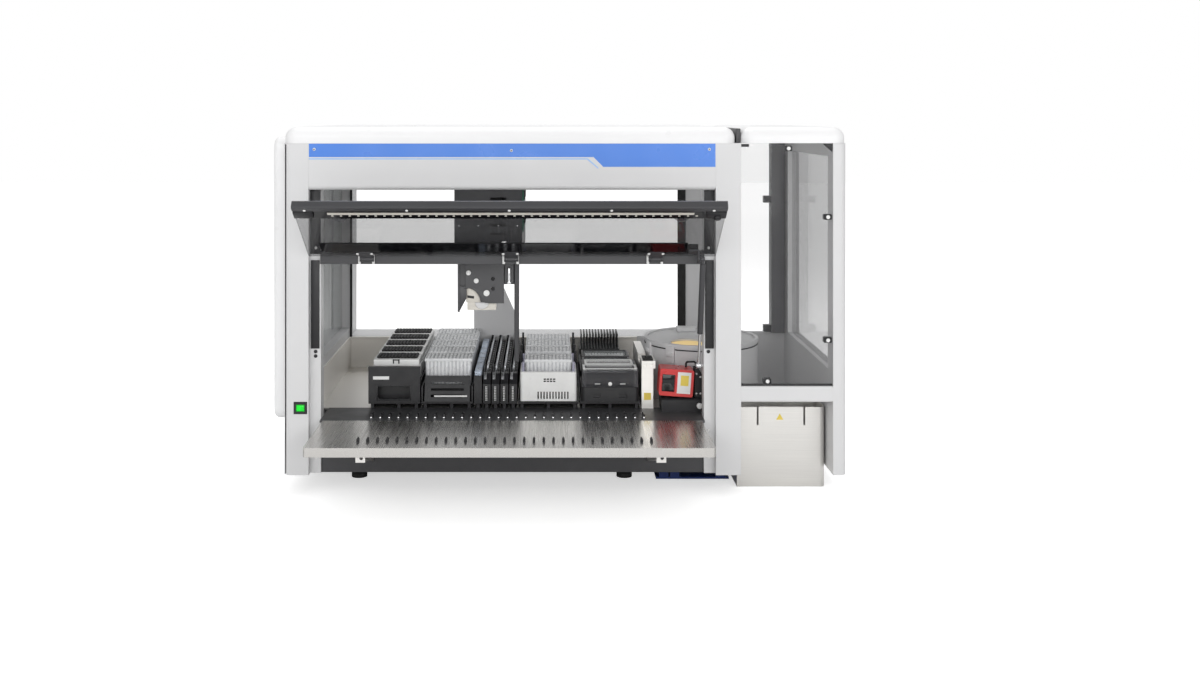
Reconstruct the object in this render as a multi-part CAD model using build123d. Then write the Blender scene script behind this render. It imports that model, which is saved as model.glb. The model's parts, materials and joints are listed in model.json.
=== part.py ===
from build123d import *
import os
from math import atan2, cos, degrees, hypot, radians, sin

# Benchtop liquid handling robot. Millimetres, +X right, +Y back, +Z up.
# The origin is on the bench, under the middle of the machine's bounding box.

# ---- enclosure ----
body_left = -675.0
body_width = 1124.0
body_depth = 795.0
front_y = -268.0
skirt_z = 49.0
cover_z = 864.0
cover_height = 39.0
side_thick = 62.0
trim_width = 27.0
trim_depth = 40.0
trim_setback = 20.0
front_column = 138.0
rear_column = 127.0
side_sill_z = 300.0
side_header = 34.0
sheet = 3.0
cover_radius = 30.0
edge_radius = 16.0
side_cover_thick = 33.0
side_cover_inset = 40.0
side_cover_z = 176.0
side_cover_top = 878.0
fascia_height = 115.0
fascia_depth = 18.0
glass = 5.0
window_inset = 24.0
switch_inset = 42.0
switch_z = 214.0
bezel_size = (33.0, 30.0)
button_size = (21.0, 17.0)
button_travel = 3.0
button_fit = 0.3
seal_low = 357.0
seal_high = 575.0

# ---- deck and tracks ----
deck_z = 183.0
deck_sheet = 5.0
rail_depth = 139.0
track_pitch = 22.5
track_count = 31
right_margin = 147.6
pin_height = 9.0
pin_width = 6.0
pin_length = 12.0
rear_clear = 28.0
ledge_z = 274.0
ledge_depth = 14.0
tray_width = 932.0
tray_depth = 259.0
tray_lip = 21.0
bracket_insets = (125.0, 140.0)
chassis_setback = 27.0
foot_radius = 20.0
foot_pad = 14.0
foot_insets = (74.0, 188.0)
stand_low = 338.0
stand_high = 421.0

# ---- front hood ----
hinge_z = 580.0
hood_length = 270.0
hood_open = 33.0
hood_gap = 2.0
hood_clear = 12.0
edge_bar = 20.0
pin_radius = 3.0
pin_fit = 0.05
knuckle_radius = 7.0
knuckle_width = 22.0
lug_width = 6.0
hinge_pitch = 354.5
beam_height = 24.0
beam_depth = 30.0
beam_gap = 10.0

# ---- gas strut ----
strut_inset = 10.0
strut_radius = 7.0
rod_radius = 3.5
stud_radius = 4.0
strut_low_y = -223.0
strut_low_z = 310.0
strut_arm = 45.0
strut_lag = 27.0
strut_eye = 5.0
strut_neck = 12.0
cylinder_length = 188.0
rod_overlap = 62.0

# ---- pipetting arm ----
arm_width = 170.0
arm_shift = -62.0
arm_y = -200.0
arm_depth = 520.0
rail_clear = 55.0
arm_bottom = 570.0
arm_top = 780.0
arm_wall = 4.0
arm_roof = 24.0
rail_size = 25.0
rail_gap = 0.3
head_depth = 120.0
head_gap = 3.0
head_top = 566.0
head_low = 458.0
head_step = 500.0
head_tip = 436.0
guide_width = 50.0
reach_z = 311.0

# ---- extension cabinet ----
ext_width = 259.0
ext_depth = 663.0
ext_gap = 3.0
ext_wall = 33.0
ext_bar_z = 228.0
ext_bar_height = 39.0
pane_setback = 6.0
ext_column = 60.0
ext_rear_column = 75.0
ext_wall_z = 291.0
pillar_inset = (75.0, 36.0)
bin_width = 221.0
bin_depth = 110.0
bin_height = 200.0
bin_setback = 72.0
bin_sheet = 1.5
bin_gap = 0.3

# ---- centrifuge ----
drum_inset = 3.0
drum_y = 62.0
drum_radius = 152.0
drum_bottom = 45.0
drum_lid_z = 325.0
lid_height = 9.0
drum_wall = 10.0
drum_gap = 4.0
rotor_radius = 128.0
rotor_z = 190.0
rotor_height = 70.0
spindle_radius = 12.0
plinth_z = 20.0

# ---- carriers ----
carrier_front = 125.0
carrier_length = 515.0
rack_setback = 45.0
carrier_clear = 1.5
carrier_floor = 196.0
carrier_plate = 6.0
runner_gap = 0.3
runner_width = 8.0
rack_pitch = 96.0
rack_length = 84.0
rack_width = 124.0
rack_top = 304.0
tip_seat = 250.0
rack_seat = 232.0
low_rack_seat = 228.0
rack_gap = 0.3
tip_pitch = 9.0
tip_columns = 12
heater_rack_y = 154.5
heater_floor = 262.0
heater_top = 276.0
heater_length = 136.0
tile_pitch = 70.0
tile_z = 266.0
filter_pitch = 104.0
filter_start = 150.0
fin_block = 110.0

# ---- scanner ----
scan_inset = 60.0
scan_setback = 88.0
scan_size = (86.0, 60.0, 68.0)

body_right = body_left + body_width
body_mid = body_left + body_width / 2
back_y = front_y + body_depth
inner_left = body_left + side_thick
inner_right = body_right - side_thick
open_left = inner_left + trim_width
open_right = inner_right - trim_width
track_left = open_right - right_margin - track_count * track_pitch
carrier_y = front_y + carrier_front
carrier_back = carrier_y + carrier_length
arm_back = arm_y + arm_depth
window_y = max(carrier_back + rear_clear, arm_back + rail_size + rail_clear)
trim_y = front_y + trim_setback
chassis_y = front_y + chassis_setback
plate_z = deck_z - deck_sheet
rail_back = front_y + rail_depth
ext_right = body_right + ext_width
ext_back = front_y + ext_depth
ext_hole = (front_y + ext_column, ext_back - ext_rear_column)
pillar_x = (ext_right - pillar_inset[0], ext_right - pillar_inset[1])
drum_x = inner_right + drum_inset
strut_x = open_right - strut_inset
switch_x = body_left + switch_inset
scan_x = open_right - scan_inset
scan_y = front_y + scan_setback
side_hole = (front_y + front_column, back_y - rear_column)
beam_front = front_y + beam_gap
arm_x = body_mid + arm_shift
arm_left = arm_x - arm_width / 2
arm_right = arm_x + arm_width / 2
plate_top = carrier_floor + carrier_plate
hinge_xs = [body_mid - 2 + hinge_pitch * n for n in (-1, 0, 1)]
hood_left = inner_left + hood_gap
hood_right = inner_right - hood_gap
head_y = arm_y + arm_wall + head_gap
head_left = arm_left + arm_wall + head_gap
head_right = arm_right - arm_wall - head_gap
carriage_z = arm_top - arm_roof - rail_gap
rail_z = cover_z - 4 - rail_size


def block(x0, x1, y0, y1, z0, z1):
    """A box between two corners."""
    return Pos((x0 + x1) / 2, (y0 + y1) / 2, (z0 + z1) / 2) * Box(abs(x1 - x0), abs(y1 - y0), abs(z1 - z0))


def rod(radius, length, x=0, y=0, z=0, axis="Z"):
    """A cylinder that starts at a point and runs along +X, +Y or +Z."""
    turn = {"Z": Rot(0, 0, 0), "X": Rot(0, 90, 0), "Y": Rot(-90, 0, 0)}[axis]
    return Pos(x, y, z) * turn * Pos(0, 0, length / 2) * Cylinder(radius, length)


def prism_x(points, x0, x1):
    """A profile of (y, z) points drawn out from x0 to x1."""
    face = make_face(Polyline(*[(x0, y, z) for y, z in points], close=True))
    return extrude(face, amount=x1 - x0, dir=(1, 0, 0))


def prism_y(points, y0, y1):
    """A profile of (x, z) points drawn out from y0 to y1."""
    face = make_face(Polyline(*[(x, y0, z) for x, z in points], close=True))
    return extrude(face, amount=y1 - y0, dir=(0, 1, 0))


def track_x(tracks):
    """The X of a boundary between tracks, counted from the left."""
    return track_left + track_pitch * tracks


def rounded_cap(x0, x1, y0, y1, z0, z1, radius, wall):
    """A sheet cover, open below, with a rounded front and rounded corners."""
    outer = block(x0, x1, y0, y1, z0, z1)
    outer = fillet(outer.edges().filter_by(Axis.Z), radius)
    outer = fillet(outer.faces().sort_by(Axis.Z)[-1].edges(), radius - 4)
    inner = block(x0 + wall, x1 - wall, y0 + wall, y1 - wall, z0 - 1, z1 - wall)
    inner = fillet(inner.edges().filter_by(Axis.Z), radius - wall)
    inner = fillet(inner.faces().sort_by(Axis.Z)[-1].edges(), radius - 4 - wall)
    return outer - inner


# ================= enclosure =================
def base_chassis():
    """Sheet steel tub under the deck, with ribs, cut round for the centrifuge."""
    tub = block(open_left, open_right, chassis_y, back_y, skirt_z, plate_z)
    ribs = 5
    cell = (open_right - open_left - sheet * (ribs + 1)) / ribs
    for n in range(ribs):
        x0 = open_left + sheet + n * (cell + sheet)
        tub -= block(x0, x0 + cell, chassis_y + sheet, back_y - sheet, skirt_z + sheet, plate_z + 1)
    hole = drum_radius + drum_gap
    tub -= rod(hole, plate_z, drum_x, drum_y, 0)
    tub -= block(drum_x, open_right + 1, drum_y - hole, drum_y + hole, 0, plate_z + 1)
    return tub


def levelling_feet():
    """Four rubber pads on threaded studs with lock nuts."""
    feet = []
    for x in (open_left + foot_insets[0], open_right - foot_insets[1]):
        for y in (chassis_y + 140, back_y - 107):
            foot = rod(foot_radius, foot_pad, x, y, 0)
            foot = chamfer(foot.edges().group_by(Axis.Z)[-1], 3)
            foot += rod(6, skirt_z - foot_pad, x, y, foot_pad)
            foot += Pos(x, y, skirt_z - 8) * extrude(RegularPolygon(11, 6), amount=5)
            feet.append(foot)
    return feet


def left_side_frame():
    """Left side: front column, sill, header and rear column round a window."""
    wall = block(body_left, inner_left, front_y, back_y, skirt_z, cover_z)
    wall = fillet(wall.edges().filter_by(Axis.Z).group_by(Axis.X)[0], edge_radius)
    wall -= block(body_left - 1, inner_left + 1, *side_hole, side_sill_z, cover_z - side_header)
    inside = block(body_left + sheet, inner_left - sheet, front_y + sheet, side_hole[0] - sheet,
                   skirt_z - 1, cover_z - sheet)
    wall -= inside
    wall -= block(body_left + sheet, inner_left - sheet, side_hole[1] + sheet, back_y - sheet,
                  skirt_z - 1, cover_z - sheet)
    wall -= block(body_left + sheet, inner_left - sheet, side_hole[0] + sheet, side_hole[1] - sheet,
                  skirt_z - 1, side_sill_z - sheet)
    x, z = switch_x, switch_z
    wall -= block(x - bezel_size[0] / 2, x + bezel_size[0] / 2, front_y - 1, front_y + sheet + 1,
                  z - bezel_size[1] / 2, z + bezel_size[1] / 2)
    return wall


def right_side_frame():
    """Right side: two columns and a header, open between for the centrifuge."""
    wall = block(inner_right, body_right, front_y, back_y, skirt_z, cover_z)
    wall -= block(inner_right - 1, body_right + 1, *side_hole, skirt_z - 1, cover_z - side_header)
    wall -= block(inner_right + sheet, body_right - sheet, front_y + sheet, side_hole[0] - sheet,
                  skirt_z - 1, cover_z - sheet)
    wall -= block(inner_right + sheet, body_right - sheet, side_hole[1] + sheet, back_y - sheet,
                  skirt_z - 1, cover_z - sheet)
    return wall


def post_trims():
    """The recessed inner strips of the two front columns, with their seals."""
    solids = []
    for x0, x1 in ((inner_left, open_left), (open_right, inner_right)):
        solids.append(block(x0, x1, trim_y, trim_y + trim_depth, skirt_z, rail_z - 2))
        solids.append(block(x0 + 3, x1 - 3, trim_y - 4, trim_y, seal_low, seal_high))
    solids.append(rod(stud_radius, open_right - strut_x + strut_radius, strut_x - strut_radius,
                      strut_low_y, strut_low_z, "X"))
    return solids


def left_side_cover():
    """Shallow moulded cover on the outside of the left wall."""
    x0 = body_left - side_cover_thick
    y0, y1 = front_y + side_cover_inset, back_y - side_cover_inset
    cover = block(x0, body_left, y0, y1, side_cover_z, side_cover_top)
    cover = fillet(cover.edges().filter_by(Axis.X), 28)
    cover = fillet(cover.faces().sort_by(Axis.X)[0].edges(), 12)
    cover -= block(x0 + sheet, body_left + 1, y0 + 14, y1 - 14, side_cover_z + 14, side_cover_top - 14)
    return cover


def power_bezel():
    """Black switch frame, set in the left column, with a shaft for the button."""
    x, z = switch_x, switch_z
    w, h = bezel_size[0] / 2, bezel_size[1] / 2
    ring = block(x - w, x + w, front_y - 1.5, front_y + 22, z - h, z + h)
    ring = chamfer(ring.faces().sort_by(Axis.Y)[0].edges(), 1)
    bw, bh = button_size[0] / 2 + button_fit, button_size[1] / 2 + button_fit
    return ring - block(x - bw, x + bw, front_y - 2, front_y + 18, z - bh, z + bh)


def power_button():
    """Green rocker key; it stands 1 mm proud and travels inwards."""
    x, z = switch_x, switch_z
    w, h = button_size[0] / 2, button_size[1] / 2
    key = block(x - w, x + w, front_y - 2.5, front_y + 18 - button_travel - 0.5, z - h, z + h)
    return chamfer(key.faces().sort_by(Axis.Y)[0].edges(), 0.8)


def top_cover():
    return rounded_cap(body_left, body_right - 12, front_y, back_y, cover_z, cover_z + cover_height,
                       cover_radius, sheet)


def front_fascia():
    """Folded sheet panel between the columns, with a rounded lower edge."""
    z0 = cover_z - fascia_height
    panel = block(inner_left, inner_right, front_y, front_y + fascia_depth, z0, cover_z)
    panel = fillet(panel.edges().filter_by(Axis.X).group_by(Axis.Y)[0].group_by(Axis.Z)[0], 10)
    return panel - block(inner_left + sheet, inner_right - sheet, front_y + sheet,
                         front_y + fascia_depth + 1, z0 + sheet, cover_z - sheet)


def rear_housing():
    """Closed electronics box behind the deck, louvred at the back."""
    box = block(inner_left, inner_right, window_y + glass, back_y, plate_z, ledge_z)
    box -= block(inner_left + sheet, inner_right - sheet, window_y + glass + sheet, back_y - sheet,
                 plate_z - 1, ledge_z - sheet)
    for n in range(12):
        x = body_mid - 165 + n * 30
        box -= block(x - 6, x + 6, back_y - sheet - 1, back_y + 1, plate_z + 25, ledge_z - 25)
    return box


def windows():
    """Clear panes behind the deck and in the left wall."""
    rear = block(inner_left, inner_right, window_y, window_y + glass, ledge_z, cover_z)
    x = inner_left - window_inset
    left = block(x - glass, x, *side_hole, side_sill_z, cover_z - side_header)
    return [rear, left]


def x_rails():
    """Two ground rails across the machine that carry the pipetting arm."""
    solids = []
    for y in rail_ys():
        rail = block(inner_left, inner_right, y, y + rail_size, rail_z, rail_z + rail_size)
        groove = 5
        for side in (y, y + rail_size):
            rail -= block(inner_left - 1, inner_right + 1, side - groove, side + groove,
                          rail_z + rail_size * 0.35, rail_z + rail_size * 0.65)
        solids.append(rail)
    return solids


def rail_ys():
    return (arm_y - rail_size, arm_back)


# ================= deck =================
def deck_plate():
    """Stainless deck sheet, cut round for the centrifuge."""
    plate = block(inner_left, inner_right, rail_back, window_y + glass, plate_z, deck_z)
    return plate - rod(drum_radius + drum_gap, 20, drum_x, drum_y, plate_z - 5)


def front_rail():
    """Dark slotted plate in front of the deck, where the carriers latch."""
    plate = block(open_left, open_right, front_y, rail_back, plate_z, deck_z)
    for n in range(track_count):
        x = track_x(n + 1)
        plate -= block(x - 2, x + 2, front_y + 66, front_y + 90, deck_z - 3, deck_z + 1)
    return plate


def track_pins():
    """Tapered guide pins between the tracks, one row on the rail and one on the tray."""
    pins = []
    for row in (front_y + 30, front_y - 204):
        for n in range(track_count):
            x, w = track_x(n + 1), pin_width / 2
            profile = [(x - w, deck_z), (x + w, deck_z), (x + w, deck_z + pin_height * 0.6),
                       (x + w * 0.4, deck_z + pin_height), (x - w * 0.4, deck_z + pin_height),
                       (x - w, deck_z + pin_height * 0.6)]
            pins.append(prism_y(profile, row, row + pin_length))
    return pins


def deck_walls():
    """Low splash wall behind the deck and along its left side."""
    rear = block(inner_left + 3, drum_x - 150, window_y - 2, window_y, deck_z, ledge_z)
    ledge = block(inner_left + 3, drum_x - 150, window_y - ledge_depth, window_y - 2, ledge_z - 2, ledge_z)
    left = block(inner_left, inner_left + 3, rail_back, window_y, deck_z, ledge_z)
    return rear + ledge + left


def loading_tray():
    """Stainless shelf in front of the rail, folded down all round."""
    mid = (open_left + open_right) / 2
    x0, x1 = mid - tray_width / 2, mid + tray_width / 2
    y0 = front_y - tray_depth
    tray = block(x0, x1, y0, front_y, deck_z - tray_lip, deck_z)
    tray = fillet(tray.edges().filter_by(Axis.Z).group_by(Axis.Y)[0], 8)
    return tray - block(x0 + 2, x1 - 2, y0 + 2, front_y + 1, deck_z - tray_lip - 1, deck_z - 2)


def tray_brackets():
    """Two gussets from the chassis that hold the tray, with a holed tab each."""
    solids = []
    for x in (open_left + bracket_insets[0], open_right - bracket_insets[1]):
        top, y0 = deck_z - 2, front_y - tray_depth + 12
        web = prism_x([(chassis_y, top), (y0, top), (y0, top - 34), (y0 + 22, top - 34),
                       (chassis_y, top - 105)], x, x + 4)
        web -= block(x - 1, x + 5, front_y - 1, chassis_y + 1, plate_z, top + 1)
        tab = block(x + 4, x + 22, y0, y0 + 3, top - 34, top - 14)
        tab -= rod(4, 10, x + 13, y0 - 3, top - 24, "Y")
        solids.append(web + tab)
    return solids


def rear_stand():
    """Folded sheet stand behind the slim carriers."""
    x0, x1 = body_mid - 130, body_mid - 3
    y0, y1 = carrier_back + 3, window_y - ledge_depth - 2
    face = prism_y([(x0, deck_z), (x1, deck_z), (x1, stand_low), (x1 - 38, stand_high),
                    (x0, stand_high)], y0, y0 + sheet)
    foot = block(x0, x1, y0 + sheet, y1, deck_z, deck_z + sheet)
    return face + foot + block(x0, x0 + sheet, y0 + sheet, y1, deck_z, ledge_z - 10)


# ================= hood =================
def swung(shape):
    """Turns a piece modelled on the closed hood to the open rest position."""
    axis = Pos(0, front_y, hinge_z)
    return axis * Rot(-(90 + hood_open), 0, 0) * axis.inverse() * shape


def hood_glass():
    pane = block(hood_left, hood_right, front_y - 6, front_y - 6 + glass,
                 hinge_z - hood_length + edge_bar, hinge_z - hood_clear)
    return swung(pane)


def hood_edge_bar():
    """Aluminium bar along the free edge, with a groove for the pane."""
    z1 = hinge_z - hood_length + edge_bar
    bar = block(hood_left, hood_right, front_y - 14, front_y + 6, z1 - edge_bar, z1)
    bar = chamfer(bar.edges().filter_by(Axis.X), 3)
    return swung(bar)


def hood_plates():
    """Glossy black stiffeners on the inner face: one by the hinge, one by the edge."""
    y0 = front_y - 6 + glass
    near = block(hood_left + 37, strut_x - 40, y0, y0 + 3, hinge_z - 85, hinge_z - 42)
    free = block(hood_left, hood_right, y0, y0 + 3, hinge_z - hood_length + edge_bar,
                 hinge_z - hood_length + edge_bar + 38)
    return [swung(near), swung(free)]


def hood_hinges():
    """Three hinge leaves with knuckles, and the arm that the strut pushes on."""
    y0 = front_y - 6 + glass
    solids = []
    for x in hinge_xs:
        w = knuckle_width / 2
        leaf = block(x - w, x + w, y0, y0 + 3, hinge_z - hood_clear - 6, hinge_z)
        leaf += block(x - w - 6, x + w + 6, y0, y0 + 3, hinge_z - 42, hinge_z - hood_clear - 4)
        leaf += rod(knuckle_radius, 2 * w, x - w, front_y, hinge_z, "X")
        leaf -= rod(pin_radius + pin_fit, 2 * w + 2, x - w - 1, front_y, hinge_z, "X")
        solids.append(swung(leaf))
    t, n = strut_arm * cos(radians(strut_lag)), strut_arm * sin(radians(strut_lag))
    x1 = strut_x - strut_radius - 1
    z0 = hinge_z - t
    arm = block(x1 - 5, x1, y0, front_y + n + 6, z0 - 9, z0 + 9)
    arm = fillet(arm.edges().filter_by(Axis.X).group_by(Axis.Y)[-1], 5)
    arm += block(x1 - 25, x1, y0, y0 + 4, z0 - 9, z0 + 9)
    solids.append(swung(arm))
    return solids


def cross_beam():
    """Dark beam across the opening that carries the hinges; its ends flare."""
    z0, z1 = hinge_z - beam_height / 2 - 2, hinge_z + beam_height / 2 - 2
    beam = block(open_left, open_right, beam_front, beam_front + beam_depth, z0, z1)
    flare = 30
    for x0, step in ((open_left, 1), (open_right, -1)):
        beam += prism_y([(x0, z1), (x0 + step * flare, z1), (x0, z1 + 9)],
                        beam_front + 4, beam_front + beam_depth)
    beam -= block(open_left + 30, open_right - 30, beam_front + 6, beam_front + beam_depth + 1,
                  z0 + 4, z1 - 4)
    for x in hinge_xs:
        for side in (-1, 1):
            inner = x + side * (knuckle_width / 2 + 0.5)
            outer = inner + side * lug_width
            x0, x1 = min(inner, outer), max(inner, outer)
            lug = block(x0, x1, front_y, beam_front, hinge_z - 7, hinge_z + 7)
            lug += rod(7, lug_width, x0, front_y, hinge_z, "X")
            beam += lug
            beam -= rod(pin_radius, lug_width + 2, x0 - 1, front_y, hinge_z, "X")
    return beam


def hinge_pins():
    """Three steel pins through the hood's knuckles."""
    half = knuckle_width / 2 + 0.5 + lug_width
    return [rod(pin_radius, 2 * half, x - half, front_y, hinge_z, "X") for x in hinge_xs]


def strut_axis():
    """The strut's length and its lean forward from the vertical, hood open, in degrees."""
    a = radians(hood_open - strut_lag)
    dy = front_y - strut_arm * cos(a) - strut_low_y
    dz = hinge_z + strut_arm * sin(a) - strut_low_z
    return hypot(dy, dz), degrees(atan2(-dy, dz))


def leaned(shape):
    """Turns a piece modelled on an upright strut to the strut's lean."""
    return Pos(strut_x, strut_low_y, strut_low_z) * Rot(strut_axis()[1], 0, 0) * shape


def strut_rod():
    """Polished rod with its eye on the stud of the right trim."""
    length = strut_axis()[0] - cylinder_length - strut_neck - 7 + rod_overlap
    whole = rod(8, 10, -5, 0, 0, "X") + rod(rod_radius, length, 0, 0, 7)
    return leaned(whole - rod(stud_radius + pin_fit, 30, -15, 0, 0, "X"))


def strut_cylinder():
    """Dark pressure tube with a necked end and an eye that faces the hood's arm."""
    length = strut_axis()[0]
    low = length - strut_neck - cylinder_length
    tube = rod(strut_radius, cylinder_length, 0, 0, low)
    tube = chamfer(tube.edges().group_by(Axis.Z)[-1], 2)
    tube += rod(4, strut_neck, 0, 0, length - strut_neck)
    tube += rod(strut_eye, 10, -6, 0, length, "X")
    bore = rod(rod_radius + 0.2, cylinder_length - 16, 0, 0, low - 1)
    return leaned(tube - bore)


# ================= pipetting arm =================
def arm_housing():
    """Black channel, open below, that the head runs in; shoes ride on the rails."""
    y1 = arm_back
    arm = block(arm_left, arm_right, arm_y, y1, arm_bottom, arm_top)
    arm = fillet(arm.edges().filter_by(Axis.Y).group_by(Axis.Z)[-1], 6)
    arm -= block(arm_left + arm_wall, arm_right - arm_wall, arm_y + arm_wall, y1 - arm_wall,
                 arm_bottom - 1, arm_top - arm_roof)
    for n in range(6):
        z = arm_bottom + 40 + 22 * n
        arm -= block(arm_left + 90, arm_left + 130, arm_y - 1, arm_y + arm_wall + 1, z, z + 6)
    shoe_top = rail_z - rail_gap
    for y in rail_ys():
        arm += block(arm_left + 12, arm_right - 12, y, y + rail_size, arm_top - 16, shoe_top)
        arm += block(arm_left + 12, arm_right - 12, min(y, y1 - 12), max(y + rail_size, arm_y + 12),
                     arm_top - 16, arm_top - 2)
    return arm


def head_carriage():
    """Block that runs along inside the arm and carries the vertical rail."""
    shelf = block(head_left, head_right, head_y + 40, head_y + head_depth, carriage_z - 22, carriage_z)
    spine = block(arm_x - 30, arm_x + 30, head_y + 100, head_y + head_depth, head_top - 48,
                  carriage_z)
    return shelf + spine


def head_plates():
    """Dark side plates of the head, cut round for the cup, with holes."""
    y = head_y + 12
    thick = 6.0
    x0, x1 = head_left + 20, head_left + 117
    z0, z1 = head_low, head_top
    main = block(x0, x1, y, y + thick, z0, z1)
    main -= rod(42, thick + 2, x0 + 16, y - 1, z0 - 2, "Y")
    for dz in (62, 37):
        main -= rod(5, thick + 2, x0 + 69, y - 1, z0 + dz, "Y")
    side = prism_x([(y, z1), (y + 70, z1), (y + 70, head_step), (y + 10, head_tip), (y, head_tip)],
                   head_left, head_left + 5)
    web = block(head_left, x0 + 1, y + thick, y + thick + 4, head_step, z1)
    back = block(x0, x1 + 36, head_y + 60, head_y + 66, head_step, z1)
    top = block(head_left, head_right, y, head_y + 100 - rail_gap, z1 - 6, z1)
    runner = block(arm_x - guide_width / 2, arm_x + guide_width / 2, head_y + 66, head_y + 100 - rail_gap,
                   z1 - 44, z1 - 6)
    arm = block(x1 + 2, x1 + 24, y, y + 50, head_step + 8, z1 - 6)
    arm = chamfer(arm.edges().filter_by(Axis.Y), 3)
    return main + side + web + back + top + arm + runner


def head_cup():
    """Cream plastic cup behind the main plate."""
    y = head_y + 18.3
    x = head_left + 46
    cup = rod(36, 40, x, y, head_low, "Y")
    cup -= block(x - 60, x + 60, y - 1, y + 41, head_tip - 36, head_tip - 2)
    cup += block(x, x + 62, y, y + 36, head_tip, head_low)
    hollow = rod(16, 60, x + 33, y - 1, head_low, "Y")
    return cup - hollow


def reach_bar():
    """Long tapered bar down the right side of the head."""
    x1 = head_right
    y = head_y + 14
    bar = prism_x([(y, head_top - 6), (y + 26, head_top - 6), (y + 26, head_step - 20),
                   (y + 14, reach_z), (y, reach_z)], x1 - 13, x1 - 1)
    bar = chamfer(bar.edges().filter_by(Axis.Z), 1.5)
    return bar


# ================= extension cabinet =================
def extension_cover():
    return rounded_cap(body_right + ext_gap, ext_right, front_y, ext_back, cover_z,
                       cover_z + cover_height, cover_radius, sheet)


def extension_side_frame():
    """Outer wall of the extension, a hollow section round the side pane."""
    x0 = ext_right - ext_wall
    wall = block(x0, ext_right, front_y, ext_back, skirt_z, cover_z)
    wall = fillet(wall.edges().filter_by(Axis.Z).group_by(Axis.X)[-1], edge_radius)
    wall -= block(x0 - 1, ext_right + 1, *ext_hole, side_sill_z, cover_z - side_header)
    for y0, y1, z1 in ((front_y, ext_hole[0], cover_z), (ext_hole[1], ext_back, cover_z),
                       (ext_hole[0], ext_hole[1], side_sill_z)):
        wall -= block(x0 + sheet, ext_right - sheet, y0 + edge_radius / 2, y1 - sheet,
                      skirt_z - 1, z1 - sheet)
    return wall


def extension_panes():
    """Tinted front and side panes."""
    y = front_y + pane_setback
    x1 = ext_right - ext_wall
    front = block(body_right, x1, y, y + glass, ext_bar_z + ext_bar_height, cover_z)
    side = block(x1 + 12, x1 + 12 + glass, *ext_hole, side_sill_z, cover_z - side_header)
    return [front, side]


def extension_bar():
    """Grey cross member under the front pane, a folded channel."""
    x1 = ext_right - ext_wall
    z1 = ext_bar_z + ext_bar_height
    bar = block(body_right, x1, front_y, front_y + 30, ext_bar_z, z1)
    bar = fillet(bar.edges().filter_by(Axis.X).group_by(Axis.Y)[0], 5)
    return bar - block(body_right - 1, x1 + 1, front_y + sheet, front_y + 31, ext_bar_z + sheet,
                       z1 - sheet)


def pane_clips():
    """Black clip blocks that hold the front pane and the rear pane's edge."""
    y = front_y + pane_setback + glass
    solids = []
    side_x = ext_right - ext_wall - 11
    for x, z in ((body_right + 118, cover_z - 13), (side_x, cover_z - 182), (side_x, cover_z - 485),
                 (body_right + 66, ext_bar_z + ext_bar_height + 11)):
        clip = block(x - 10, x + 10, y, y + 12, z - 7, z + 7)
        solids.append(chamfer(clip.edges().filter_by(Axis.Y), 2))
    for z in (cover_z - 179, ext_wall_z + 14):
        solids.append(block(pillar_x[0] - 22, pillar_x[0], ext_back - 40, ext_back - 20, z - 10, z + 10))
    return solids


def extension_rear():
    """Rear pillar of the extension, standing on its low back wall."""
    wall = block(body_right, ext_right - ext_wall, ext_back - 15, ext_back, skirt_z, ext_wall_z)
    pillar = block(*pillar_x, ext_back - 43, ext_back, ext_wall_z, cover_z)
    pillar -= block(pillar_x[0] + sheet, pillar_x[1] - sheet, ext_back - 40, ext_back - sheet,
                    ext_wall_z - 1, cover_z - sheet)
    return [wall, pillar]


def waste_bin():
    """Stainless bin on the bench: folded walls, rolled lip, two slots in front."""
    x0, y0 = body_right + bin_gap, front_y + bin_setback
    x1, y1 = x0 + bin_width, y0 + bin_depth
    tub = block(x0, x1, y0, y1, 0, bin_height)
    tub = fillet(tub.edges().filter_by(Axis.Z).group_by(Axis.X)[-1], 12)
    hollow = block(x0 + bin_sheet, x1 - bin_sheet, y0 + bin_sheet, y1 - bin_sheet, bin_sheet,
                   bin_height + 1)
    hollow = fillet(hollow.edges().filter_by(Axis.Z).group_by(Axis.X)[-1], 12 - bin_sheet)
    tub -= hollow
    for x in (x0 + 50, x1 - 54):
        tub -= block(x, x + 4.5, y0 - 1, y0 + bin_sheet + 1, bin_height - 45, bin_height + 1)
    lip = prism_x([(y0 + bin_sheet, bin_height - 24), (y0 + bin_sheet + 9, bin_height - 2),
                   (y0 + bin_sheet + 9, bin_height), (y0 + bin_sheet, bin_height)],
                  x0 + 57, x1 - 57)
    return tub + lip


# ================= centrifuge =================
def centrifuge_housing():
    """Round tub with a motor block, a spindle and a bowl for the rotor."""
    tub = rod(drum_radius, drum_lid_z - drum_bottom, drum_x, drum_y, drum_bottom)
    bowl_z = rotor_z - 30
    tub -= rod(drum_radius - drum_wall, drum_lid_z, drum_x, drum_y, bowl_z)
    tub -= rod(drum_radius - 20, bowl_z - drum_bottom - 40, drum_x, drum_y, drum_bottom + 20) - rod(
        60, bowl_z, drum_x, drum_y, drum_bottom)
    tub += rod(30, 25, drum_x, drum_y, bowl_z)
    tub += rod(spindle_radius, 80, drum_x, drum_y, bowl_z)
    return tub


def centrifuge_lid():
    """Flat lid with a raised rim and an oval hatch opening."""
    rim = rod(drum_radius + 2, lid_height, drum_x, drum_y, drum_lid_z)
    rim -= rod(drum_radius - 8, lid_height, drum_x, drum_y, drum_lid_z + lid_height - 4)
    hatch = Pos(drum_x - 42, drum_y - 82, drum_lid_z - 1) * extrude(Ellipse(47, 58), amount=30)
    return rim - hatch


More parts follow.
